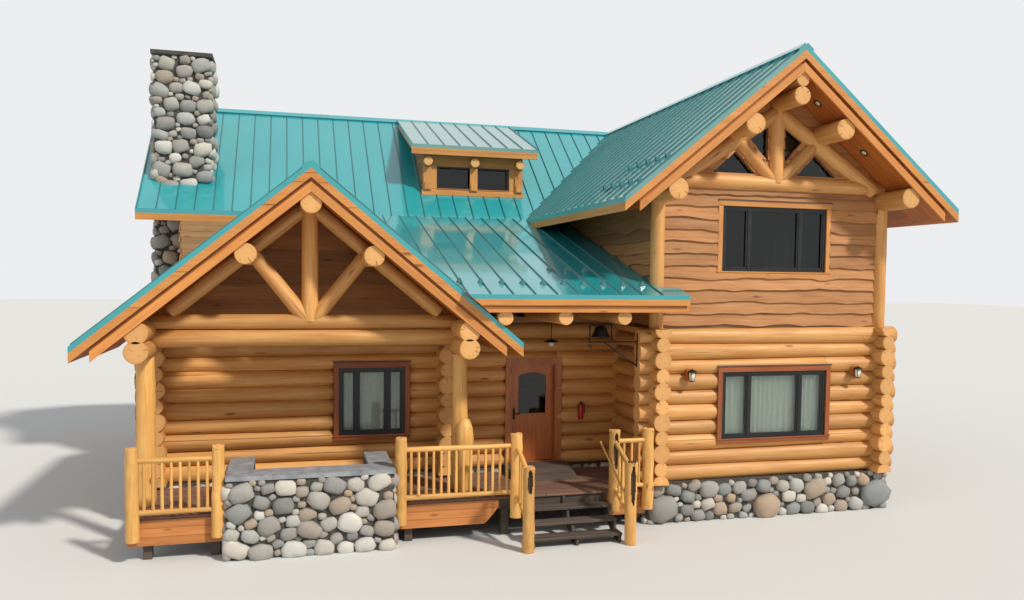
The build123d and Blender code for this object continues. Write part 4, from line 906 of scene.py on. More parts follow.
class Yard:
    """Makes finished objects and puts each on its body."""

    def __init__(self, finishes: Finishes) -> None:
        """Keep the finishes that pieces are dressed with."""
        self.finishes = finishes

    def piece(
        self,
        name: str,
        bm: Mesh,
        skins: Sequence[str],
        slot: Slot,
        replaces: Sequence[str] = (),
        body: Body = Body.HOUSE,
    ) -> bpy.types.Object:
        """Turn a bmesh into a dressed object on its body.

        Args:
            name: Piece name.
            bm: Shape in the row frame; it is freed.
            skins: Finish names, in the order of the material indices.
            slot: Record slot of the piece; not used.
            replaces: Nodes that the piece stands for.
            body: Body that it moves with.

        Returns:
            The new object.
        """
        mesh = bpy.data.meshes.new(name)
        bm.to_mesh(mesh)
        bm.free()
        made = bpy.data.objects.new(name, mesh)
        bpy.context.scene.collection.objects.link(made)
        for skin in skins:
            mesh.materials.append(self.finishes.get(skin))
        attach(made, body.value)
        if replaces:
            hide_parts(*replaces)
        LOG.info("%s: %d faces", name, len(mesh.polygons))
        return made

    def dress(self, node: str, finish: str) -> None:
        """Give a node that stays its finish."""
        made = frame["nodes"][node]
        made.data.materials.clear()
        made.data.materials.append(self.finishes.get(finish))


def slope_plane(point: Point, normal: Point) -> Clip:
    """Plane through a point, its normal brought to unit length."""
    return (Vector(point), Vector(normal).normalized())


def gable_planes(middle: float, ridge: float, pitch: float, drop: float, axis: int) -> list[Clip]:
    """Two planes that cut off what stands above a gable's slopes.

    Args:
        middle: Ridge position along the axis.
        ridge: Ridge height.
        pitch: Rise over run.
        drop: Distance below the slopes, measured upright.
        axis: 0 where the slopes fall along X, 1 along Y.

    Returns:
        Point and normal of each plane.
    """
    planes = []
    for side in (-1, 1):
        point = Vector((0, 0, ridge - drop))
        point[axis] = middle
        normal = Vector((0, 0, 1))
        normal[axis] = side * pitch
        planes.append((point, normal.normalized()))
    return planes


@dataclass
class LogStorey:
    """Log walls of the lower storey, each log tapered from butt to tip."""

    yard: Yard
    seed: int = 11
    door_left: float = -0.39425
    door_right: float = 0.61375
    door_top: float = 2.977
    entry_window: tuple[float, float] = (-3.89125, -2.59125)

    def wall(
        self,
        name: str,
        start: float,
        end: float,
        line: float,
        along_x: bool,
        tails: tuple[bool, bool],
        openings: Sequence[tuple[float, float, float, float]],
        replaces: Sequence[str],
    ) -> None:
        """Stack one wall's logs.

        Args:
            name: Piece name.
            start: Where the wall starts, along its line.
            end: Where it ends.
            line: Position of its centre line.
            along_x: True where it runs along X.
            tails: Whether each end runs past its corner.
            openings: Low and high position and low and high height of each opening.
            replaces: Nodes that the wall stands for.
        """
        rng = random.Random(self.seed + len(name) * 7 + int(line * 10))
        whole = new_bm()
        first = start - (TAIL if tails[0] else 0)
        last = end + (TAIL if tails[1] else 0)
        rows = COURSES if along_x else COURSES + 1
        cuts = max(2, int((last - first) * 1.2))
        for course in range(rows):
            height = BASE + RISE * (course + (0.5 if along_x else 0))
            radii = (BUTT, TIP) if course % 2 == 0 else (TIP, BUTT)
            r1 = radii[0] * rng.uniform(0.985, 1.015)
            r2 = radii[1] * rng.uniform(0.97, 1.03)
            log = log_mesh((first, 0, height), (last, 0, height), r1, r2, rng, 24, cuts, 0.004, 0.005)
            if not along_x and course == 0:
                clip(log, Vector((0, 0, BASE)), -UP)
            if not along_x and course == COURSES:
                clip(log, Vector((0, 0, WALL_TOP)), UP)
            for part in carve(log, [block(*opening) for opening in openings]):
                merge(whole, part)
        turn = Matrix(((0, -1, 0, line), (1, 0, 0, 0), (0, 0, 1, 0), (0, 0, 0, 1)))
        whole.transform(Matrix.Translation((0, line, 0)) if along_x else turn)
        self.yard.piece(name, whole, LOG_SKINS, Slot.LOG, replaces)

    def build(self) -> None:
        """Build every wall of the storey."""
        z1, z2 = LOWER_SILL, LOWER_SILL + LOWER_HEIGHT
        front = [(WING_LEFT + FRONT_WINDOW[0], WING_LEFT + FRONT_WINDOW[1], z1, z2)]
        middles = [WING_FRONT + c for c in SIDE_WINDOWS]
        sides = [(c - SIDE_HALF, c + SIDE_HALF, z1, z2) for c in middles]
        middles = [*(MAIN_LEFT + c for c in REAR_WINDOWS), WING_RIDGE_X]
        rear = [(c - SIDE_HALF, c + SIDE_HALF, z1, z2) for c in middles]
        entry = [(self.door_left, self.door_right, 0.0, self.door_top), (*self.entry_window, z1, z2)]
        both, near, far = (True, True), (True, False), (False, True)
        wall = self.wall
        wall("logs_wing_front", WING_LEFT, WING_RIGHT, WING_FRONT, True, both, front, ["wing_front_wall"])
        wall("logs_wing_left", WING_FRONT, ENTRY, WING_LEFT, False, both, (), ["wing_left_wall"])
        wall("logs_wing_right", WING_FRONT, BACK, WING_RIGHT, False, both, sides, ["wing_right_wall"])
        wall("logs_back", MAIN_LEFT, WING_RIGHT, BACK, True, both, rear, ["back_wall"])
        wall("logs_left_front", ENTRY, CHIMNEY[2], MAIN_LEFT, False, near, (), ["left_wall_front"])
        wall("logs_left_rear", CHIMNEY[3], BACK, MAIN_LEFT, False, far, (), ["left_wall_rear"])
        wall("logs_cross", ENTRY - BUTT, ENTRY + BUTT, CROSS, False, both, (), ["cross_wall_ends"])
        stands_for = ["entry_wall_left", "entry_wall_right", "over_door_logs"]
        wall("logs_entry", MAIN_LEFT, WING_LEFT, ENTRY, True, both, entry, stands_for)


@dataclass
class WallFace:
    """A boarded wall face: its own X runs along the wall, -Y faces out."""

    name: str
    corner: tuple[float, float]
    quarter: int
    length: float = 0.0
    low: float = 0.0
    high: float = 0.0
    clips: list[Clip] = field(default_factory=list)
    openings: list[Outline] = field(default_factory=list)

    def matrix(self) -> Matrix:
        """Place of the face in the row frame."""
        turn = Matrix.Rotation(math.pi / 2 * self.quarter, 4, "Z")
        return Matrix.Translation((*self.corner, 0)) @ turn


@dataclass
class Siding:
    """Wavy live-edge boards of the upper storey, each lapped over the one below."""

    yard: Yard
    exposure: float = 0.235
    lap: float = 0.05
    step: float = 0.16
    thickness: float = 0.028
    trim: float = 0.09

    def course(self, length: float, low: float, rng: Rng) -> Mesh:
        """One board with a wavy lower edge, in the face's own frame."""
        bm = new_bm()
        count = max(4, int(length / self.step))
        bmesh.ops.create_grid(bm, x_segments=count, y_segments=1, size=0.5)
        height = self.exposure + self.lap
        seed = Vector((rng.uniform(0, 60), rng.uniform(0, 60), 0))
        for vert in bm.verts:
            x = (vert.co.x + 0.5) * length
            bottom = vert.co.y < 0
            z = low if bottom else low + height
            out = -0.052 if bottom else -0.004
            if bottom:
                z += noise.noise(Vector((x * 1.3, 0, 0)) + seed) * 0.062
                z += noise.noise(Vector((x * 4.1, 5, 0)) + seed) * 0.028
                out += noise.noise(Vector((x * 2.0, 9, 0)) + seed) * 0.006
            vert.co = (x, out, z)
        bmesh.ops.recalc_face_normals(bm, faces=bm.faces)
        grown = bmesh.ops.extrude_face_region(bm, geom=bm.faces[:])
        inner = [v for v in grown["geom"] if isinstance(v, bmesh.types.BMVert)]
        bmesh.ops.translate(bm, vec=(0, self.thickness, 0), verts=inner)
        bmesh.ops.recalc_face_normals(bm, faces=bm.faces)
        set_grain(bm, 0, rng.random(), 0, rng.uniform(0, 40))
        return bm

    def face(self, wall: WallFace) -> None:
        """Board one wall face."""
        rng = random.Random(len(wall.name) * 31 + int(wall.length * 100))
        whole = new_bm()
        low = wall.low
        while low < wall.high:
            for part in carve(self.course(wall.length, low, rng), wall.openings):
                merge(whole, part)
            low += self.exposure
        clip(whole, Vector((0, 0, wall.high)), UP)
        whole.transform(wall.matrix())
        clip_all(whole, wall.clips)
        self.yard.piece("siding_" + wall.name, whole, ("LiveEdgeSiding",), Slot.SIDING)

    def build(self) -> None:
        """Board every upper wall."""
        trim = self.trim
        z1, z2 = UPPER_SILL - trim, UPPER_SILL + UPPER_HEIGHT + trim
        wing = gable_planes(WING_RIDGE_X, RIDGE_Z, WING_PITCH, ROOF_DEPTH, 0)
        main = gable_planes(RIDGE_Y, RIDGE_Z, MAIN_PITCH, ROOF_DEPTH, 1)
        low = UPPER_BASE - 0.02
        half = SIDE_HALF + trim
        sides = [block(c - half, c + half, z1, z2) for c in SIDE_WINDOWS]
        c = WING_RIGHT - WING_RIDGE_X
        rear = [block(c - half, c + half, z1, z2)]
        main_width = WING_LEFT - MAIN_LEFT
        middles = [main_width - c for c in reversed(REAR_WINDOWS)]
        rear_main = [block(c - half, c + half, z1, z2) for c in middles]
        front = [block(FRONT_WINDOW[0] - trim, FRONT_WINDOW[1] + trim, z1, z2)]
        middle = WING_RIDGE_X - WING_LEFT
        for pane in PANES:
            front.append([(middle + across, height) for across, height in pane])
            front.append([(middle - across, height) for across, height in reversed(pane)])
        entry_x1 = PORCH_RIDGE_X + 2.2
        starts = [WING_LEFT - across - entry_x1 for across in (2.42, 1.80)]
        lights = [block(c, c + 0.31, 3.934, 4.434) for c in starts]
        shallow = [slope_plane((0, SHALLOW_Y1, SHALLOW_Z - 0.19), (0, -SHALLOW_PITCH, 1))]
        entry_length = WING_LEFT - PORCH_RIDGE_X - 2.2
        porch = gable_planes(PORCH_RIDGE_X, PORCH_RIDGE_Z, WING_PITCH, ROOF_DEPTH, 0)
        faces = [
            WallFace("wing_front", (WING_LEFT, WING_FRONT), 0, 5.053, low, RIDGE_Z, wing, front),
            WallFace("wing_left", (WING_LEFT, MAIN_FRONT_Y), 3, MAIN_FRONT_Y - WING_FRONT, low, 6.86, wing),
            WallFace("wing_right", (WING_RIGHT, WING_FRONT), 1, 11.8, low, 6.86, wing, sides),
            WallFace("wing_back", (WING_RIGHT, BACK), 2, 5.053, low, RIDGE_Z, wing, rear),
            WallFace("main_back", (WING_LEFT, BACK), 2, 9.28, low, 6.68, main, rear_main),
            WallFace("main_left", (MAIN_LEFT, BACK), 3, 6.25, low, RIDGE_Z, main),
            WallFace("entry", (entry_x1, ENTRY), 0, entry_length, low, 5.0, shallow, lights),
            WallFace("porch", (MAIN_LEFT, ENTRY), 0, 5.4, low, PORCH_RIDGE_Z, porch),
        ]
        for wall in faces:
            self.face(wall)


@dataclass
class Slope:
    """One roof slope: its eave line and its way up to the ridge.

    The stop is the start and end of a stretch whose seams end early, and the share that they reach.
    """

    eave: Point
    ridge: Point
    along: Point
    length: float
    clips: list[Clip] = field(default_factory=list)
    stop: tuple[float, float, float] | None = None


@dataclass
class Roofs:
    """Standing seam metal roofs with fascia, soffit boards, caps and snow guards."""

    yard: Yard
    spacing: float = 0.41
    rib_width: float = 0.018
    rib_height: float = 0.034
    drip: float = 0.08
    guard_size: float = 0.085

    def normals(self) -> dict[str, Clip]:
        """Top plane of each slope, as a point and its upward normal."""
        wing, main = (WING_RIDGE_X, 0, RIDGE_Z), (0, RIDGE_Y, RIDGE_Z)
        porch = (PORCH_RIDGE_X, 0, PORCH_RIDGE_Z)
        return {
            "wing_left": slope_plane(wing, (-WING_PITCH, 0, 1)),
            "wing_right": slope_plane(wing, (WING_PITCH, 0, 1)),
            "main_front": slope_plane(main, (0, -MAIN_PITCH, 1)),
            "main_back": slope_plane(main, (0, MAIN_PITCH, 1)),
            "shallow": slope_plane((0, MAIN_FRONT_Y, EAVE_Z), (0, -SHALLOW_PITCH, 1)),
            "porch_left": slope_plane(porch, (-WING_PITCH, 0, 1)),
            "porch_right": slope_plane(porch, (WING_PITCH, 0, 1)),
            "dormer": slope_plane(main, (0, -DORMER_PITCH, 1)),
        }

    def slab(self, node: str, name: str, plane: Clip, along_x: bool, metal: str) -> None:
        """Dress one roof slab: metal above, fascia round it and boards below.

        Args:
            node: Node that is dressed.
            name: Piece name.
            plane: Point and normal of its top surface.
            along_x: True where the boards below run along X.
            metal: Finish of its top.
        """
        bm = new_bm()
        bm.from_mesh(frame["nodes"][node].data)
        bmesh.ops.remove_doubles(bm, verts=bm.verts, dist=1e-4)
        bmesh.ops.dissolve_limit(bm, angle_limit=0.01, verts=bm.verts, edges=bm.edges)
        point, normal = plane
        band = point - normal * self.drip
        geometry = bm.verts[:] + bm.edges[:] + bm.faces[:]
        bmesh.ops.bisect_plane(bm, geom=geometry, dist=1e-5, plane_co=band, plane_no=normal)
        bm.normal_update()
        for face in bm.faces:
            above = (face.calc_center_median() - band).dot(normal) > 0
            if above and face.normal.z > -0.5:
                face.material_index = 0
            elif face.normal.z < -0.3:
                face.material_index = 2
            else:
                face.material_index = 1 if abs(face.normal.y) > abs(face.normal.x) else 3
        # Undersides take the soffit finish, darkened with painted shade.
        board = "SoffitXPaintedShade" if along_x else "SoffitYPaintedShade"
        self.yard.piece(name, bm, (metal, "FasciaX", board, "FasciaY"), Slot.ROOF, [node])

    def ribs(self, slope: Slope, whole: Mesh) -> None:
        """Raise the standing seams of one slope."""
        eave, along = Vector(slope.eave), Vector(slope.along)
        up = Vector(slope.ridge) - eave
        normal = along.cross(up).normalized()
        if normal.z < 0:
            normal = -normal
        count = int(slope.length / self.spacing)
        margin = (slope.length - count * self.spacing) / 2
        side = up.normalized().cross(normal)
        axes = Matrix((side, up.normalized(), normal)).transposed().to_4x4()
        for index in range(count + 1):
            shift = margin + index * self.spacing
            start = eave + along * shift
            end = start + up
            if slope.stop and slope.stop[0] < shift < slope.stop[1]:
                end = start + up * slope.stop[2]
            bm = new_bm()
            bmesh.ops.create_cube(bm, size=1.0)
            size = (self.rib_width, (end - start).length, self.rib_height)
            bmesh.ops.scale(bm, vec=size, verts=bm.verts)
            heads = [e for e in bm.edges if all(v.co.z > 0 for v in e.verts)]
            soften(bm, heads, 0.006)
            middle = (start + end) / 2 + normal * (self.rib_height / 2 - 0.004)
            bm.transform(Matrix.Translation(middle) @ axes)
            merge(whole, clip_all(bm, slope.clips))

    def guards(self, plane: Clip, start: Point, end: Point, count: int, whole: Mesh) -> None:
        """Set a row of small snow guards on a slope.

        Args:
            plane: Point and normal of the slope's surface.
            start: X and Y of the first guard.
            end: X and Y of the last guard.
            count: Number of guards.
            whole: Where the guards go.
        """
        point, normal = plane
        fall = Vector((normal.x, normal.y, 0)).normalized()
        side = fall.cross(UP).normalized()
        axes = Matrix((side, normal.cross(side), normal)).transposed().to_4x4()
        quarter = Matrix.Rotation(math.pi / 4, 3, "Z")
        for index in range(count):
            share = index / (count - 1)
            x, y = (a + (b - a) * share for a, b in zip(start, end))
            z = point.z - (normal.x * (x - point.x) + normal.y * (y - point.y)) / normal.z
            guard = new_bm()
            foot, tip = self.guard_size, 0.012
            bmesh.ops.create_cone(guard, cap_ends=True, segments=4, radius1=foot, radius2=tip, depth=0.1)
            bmesh.ops.rotate(guard, cent=(0, 0, 0), matrix=quarter, verts=guard.verts)
            bmesh.ops.scale(guard, vec=(1.0, 0.9, 1.0), verts=guard.verts)
            plate = ((-0.03, -0.07, -0.045), (0.03, 0.09, -0.037), 1, 0)
            add_boards(guard, [plate], random.Random(index))
            guard.transform(Matrix.Translation(Vector((x, y, z)) + normal * 0.043) @ axes)
            merge(whole, guard)

    def cap(self, name: str, start: Point, end: Point, pitch: float, clips: Sequence[Clip] = ()) -> None:
        """Folded ridge cap over both slopes."""
        rng = random.Random(5)
        whole = new_bm()
        start, end = Vector(start), Vector(end)
        line = end - start
        side = line.cross(UP).normalized()
        for way in (-1, 1):
            out = (side * way * 0.15 - UP * 0.15 * pitch) * 0.5
            face_up = (UP + side * way * pitch).normalized()
            shift = face_up * (self.rib_height / 2 + 0.003)
            low, high = start + out + shift, end + out + shift
            bm = beam_mesh(low, high, 0.18, self.rib_height + 0.01, face_up, rng)
            merge(whole, clip_all(bm, clips))
        self.yard.piece(name, whole, ("TealRoof",), Slot.ROOF)

    def build(self) -> None:
        """Build every roof."""
        planes = self.normals()
        for name, plane in planes.items():
            part, _, side = name.partition("_")
            node = f"{part}_roof_{side}" if side else f"{part}_roof"
            # The wing's left slope and the dormer take the paler teal, a painted reflection.
            metal = "TealPaintedReflection" if name in ("wing_left", "dormer") else "TealRoof"
            self.slab(node, "roof_" + name, plane, part not in ("wing", "porch"), metal)
        self.seams(planes)
        guards = new_bm()
        for name, start, end, count in (
            ("shallow", (-1.84, -5.70), (1.70, -5.81), 10),
            ("shallow", (0.15, -4.80), (0.885, -4.84), 3),
            ("wing_left", (1.43, -4.51), (1.33, -6.49), 5),
            ("wing_left", (1.90, -4.69), (1.92, -6.37), 5),
        ):
            self.guards(planes[name], start, end, count, guards)
        # The snow guards take the teal darkened with painted shade.
        self.yard.piece("snow_guards", guards, ("TealPaintedShade",), Slot.ROOF)
        wing_x, porch_x, porch_z = WING_RIDGE_X, PORCH_RIDGE_X, PORCH_RIDGE_Z
        self.cap("cap_wing", (wing_x, WING_Y1, RIDGE_Z), (wing_x, WING_Y2, RIDGE_Z), WING_PITCH)
        self.cap("cap_main", (MAIN_X1, RIDGE_Y, RIDGE_Z), (wing_x, RIDGE_Y, RIDGE_Z), MAIN_PITCH)
        point, normal = planes["main_front"]
        porch_end = (porch_x, MAIN_FRONT_Y + 0.6, porch_z)
        self.cap("cap_porch", (porch_x, PORCH_Y1, porch_z), porch_end, WING_PITCH, [(point, -normal)])

    def seams(self, planes: dict[str, Clip]) -> None:
        """Raise every slope's seams as one piece, cut where they meet another slope."""
        above = {name: (point, -normal) for name, (point, normal) in planes.items()}
        x_dir, y_dir = (1, 0, 0), (0, 1, 0)
        wing_x, porch_x = WING_RIDGE_X, PORCH_RIDGE_X
        wing_front, wing_back = (wing_x, WING_Y1, RIDGE_Z), (wing_x, RIDGE_Y, RIDGE_Z)
        main_top, porch_top = (MAIN_X1, RIDGE_Y, RIDGE_Z), (porch_x, PORCH_Y1, PORCH_RIDGE_Z)
        left, right = wing_x - WING_RUN, wing_x + WING_RUN
        front, back = [above["main_front"]], [above["main_back"]]
        wing, porch = [above["wing_left"]], [above["porch_right"]]
        main_length = wing_x - MAIN_X1
        dormer_start = WING_LEFT - 3.6 - MAIN_X1
        dormer = (dormer_start, dormer_start + 2.63, 0.22)
        shallow_low, shallow_top = (porch_x, SHALLOW_Y1, SHALLOW_Z), (porch_x, MAIN_FRONT_Y, EAVE_Z)
        porch_left = (porch_x - PORCH_RUN, PORCH_Y1, PORCH_EAVE_Z)
        porch_right = (porch_x + PORCH_RUN, PORCH_Y1, PORCH_EAVE_Z)
        porch_back = RIDGE_Y - 3.0 - PORCH_Y1
        slopes = [
            Slope((left, WING_Y1, EAVE_Z), wing_front, y_dir, RIDGE_Y - WING_Y1, front),
            Slope((left, RIDGE_Y, EAVE_Z), wing_back, y_dir, WING_Y2 - RIDGE_Y, back),
            Slope((right, WING_Y1, EAVE_Z), wing_front, y_dir, WING_Y2 - WING_Y1),
            Slope((MAIN_X1, MAIN_FRONT_Y, EAVE_Z), main_top, x_dir, main_length, wing, dormer),
            Slope((MAIN_X1, RIDGE_Y + MAIN_RUN, EAVE_Z), main_top, x_dir, main_length, wing),
            Slope(shallow_low, shallow_top, x_dir, WING_LEFT - porch_x, porch),
            Slope(porch_left, porch_top, y_dir, MAIN_FRONT_Y - PORCH_Y1),
            Slope(porch_right, porch_top, y_dir, porch_back, [*front, above["shallow"]]),
            Slope((-1.87125, 0.3055, 8.08), (-1.87125, RIDGE_Y, RIDGE_Z), x_dir, 3.29),
        ]
        whole = new_bm()
        for slope in slopes:
            self.ribs(slope, whole)
        for corner, way in zip(CAD_BOX, (-1, 1)):
            for axis in (0, 1):
                away = Vector((0, 0, 0))
                away[axis] = way
                clip(whole, Vector(corner), away)
        # The seams take the teal darkened with painted shade.
        self.yard.piece("seams_roofs", whole, ("TealPaintedShade",), Slot.ROOF, ["roof_seams"])


@dataclass
class Stonework:
    """River stones laid in dark mortar, on the faces of the masonry."""

    yard: Yard
    smallest: float = 0.045
    stretch: float = 1.22

    def lay(
        self,
        length: float,
        low: float,
        high: float,
        rng: Rng,
        largest: float,
        boulders: Sequence[Stone],
    ) -> list[Stone]:
        """Choose the middle and radius of every stone on a face.

        Args:
            length: Length of the face.
            low: Height of its bottom.
            high: Height of its top.
            rng: Source of the places.
            largest: Largest radius.
            boulders: Position along, height and radius of stones set first.

        Returns:
            Position along, height and radius of each stone.
        """
        width = length / self.stretch
        cell = 2 * max([largest, *(r for _, _, r in boulders)])
        grid: dict[tuple[int, int], list[Stone]] = {}
        stones: list[Stone] = []
        for x, z, r in boulders:
            stones.append((x / self.stretch, z, r))
            grid.setdefault((int(x / self.stretch / cell), int(z / cell)), []).append(stones[-1])
        radius = largest
        while radius > self.smallest:
            tries = int(width * (high - low) / (radius * radius) * 2.2)
            for _ in range(tries):
                r = radius * rng.uniform(0.88, 1.0)
                x = rng.uniform(r * 0.6, width - r * 0.6)
                z = rng.uniform(low + r * 0.55, high - r * 0.8)
                key = (int(x / cell), int(z / cell))
                near = (
                    stone
                    for i in (-1, 0, 1)
                    for j in (-1, 0, 1)
                    for stone in grid.get((key[0] + i, key[1] + j), ())
                )
                if all((x - a) ** 2 + (z - b) ** 2 > ((r + c) * 0.95) ** 2 for a, b, c in near):
                    stones.append((x, z, r))
                    grid.setdefault(key, []).append((x, z, r))
            radius *= 0.8
        return [(x * self.stretch, z, r) for x, z, r in stones]

    def face(self, name: str, wall: WallFace, largest: float = 0.17, boulders: Sequence[Stone] = ()) -> None:
        """Lay one face of stones."""
        rng = random.Random(len(name) * 17 + int(wall.length * 10))
        whole = new_bm()
        part = new_bm()
        tone_layer = part.faces.layers.float[TONE]
        stones = self.lay(wall.length, wall.low, wall.high, rng, largest, boulders)
        for count, (x, z, r) in enumerate(stones):
            tilt = Matrix.Rotation(rng.uniform(-0.5, 0.5), 4, "Y")
            wide = r * self.stretch * rng.uniform(0.95, 1.12)
            deep = r * rng.uniform(0.5, 0.7) + 0.015
            size = Matrix.Diagonal((wide, deep, r * rng.uniform(0.92, 1.06), 1.0))
            made = bmesh.ops.create_icosphere(part, subdivisions=2, radius=1.0)
            seed = Vector((rng.uniform(0, 99), rng.uniform(0, 99), 0))
            for vert in made["verts"]:
                co = vert.co
                box = Vector([math.copysign(abs(c) ** 0.7, c) for c in co])
                vert.co = box * (1 + 0.24 * noise.noise(co * 1.5 + seed))
            place = Matrix.Translation((x, rng.uniform(-0.012, 0.012), z)) @ tilt @ size
            bmesh.ops.transform(part, matrix=place, verts=made["verts"])
            tone = rng.random()
            for face in {f for v in made["verts"] for f in v.link_faces}:
                face[tone_layer] = tone
                face.smooth = True
            if count % 120 == 119:
                merge(whole, part)
                part = new_bm()
                tone_layer = part.faces.layers.float[TONE]
        merge(whole, part)
        clip(whole, Vector((0, 0, wall.high + 0.02)), UP)
        clip(whole, Vector((0, 0, max(wall.low, 0.0))), -UP)
        whole.transform(wall.matrix())
        self.yard.piece("stones_" + name, whole, ("RiverStone",), Slot.STONE)

    def build(self) -> None:
        """Face the foundations, the chimney and the surround."""
        edge = 0.19
        x1, x2 = WING_LEFT - edge, WING_RIGHT + edge
        y1, y2 = WING_FRONT - edge, BACK + edge
        cx1, cx2, cy1, cy2 = CHIMNEY
        left = MAIN_LEFT - edge
        boulders = (
            (2.60, 0.2, 0.25),
            (0.32, 0.28, 0.25),
            (5.16, 0.33, 0.26),
            (1.3, 0.62, 0.17),
            (3.7, 0.5, 0.19),
        )
        self.face("wing_front", WallFace("", (x1, y1), 0, x2 - x1, 0, BASE), 0.135, boulders)
        for name, corner, quarter, length in (
            ("wing_right", (x2, y1), 1, y2 - y1),
            ("wing_left", (x1, ENTRY - edge), 3, ENTRY - edge - y1),
            ("back", (x2, y2), 2, x2 - MAIN_LEFT + edge),
            ("main_left_rear", (left, y2), 3, y2 - cy2),
            ("main_left_front", (left, cy1), 3, cy1 - ENTRY + edge),
            ("entry", (left, ENTRY - edge), 0, WING_LEFT - MAIN_LEFT),
        ):
            self.face(name, WallFace("", corner, quarter, length, 0, BASE))
        top = 9.9
        for name, corner, quarter, length in (
            ("chimney_front", (cx1, cy1), 0, cx2 - cx1),
            ("chimney_right", (cx2, cy1), 1, cy2 - cy1),
            ("chimney_back", (cx2, cy2), 2, cx2 - cx1),
            ("chimney_left", (cx1, cy2), 3, cy2 - cy1),
        ):
            low = 6.9 if name == "chimney_right" else 0.0
            self.face(name, WallFace("", corner, quarter, length, low, top))
        sx1, sx2, sy1, sy2 = SURROUND
        height = 1.33
        for name, corner, quarter, length, low in (
            ("surround_front", (sx1, sy1), 0, sx2 - sx1, 0.0),
            ("surround_right", (sx2, sy1), 1, sy2 - sy1, 0.0),
            ("surround_left", (sx1, sy2), 3, sy2 - sy1, 0.0),
            ("surround_inner", (sx2 - 0.4, sy1 + 0.5), 2, sx2 - sx1 - 0.8, DECK_Z),
        ):
            self.face(name, WallFace("", corner, quarter, length, low, height), 0.165)


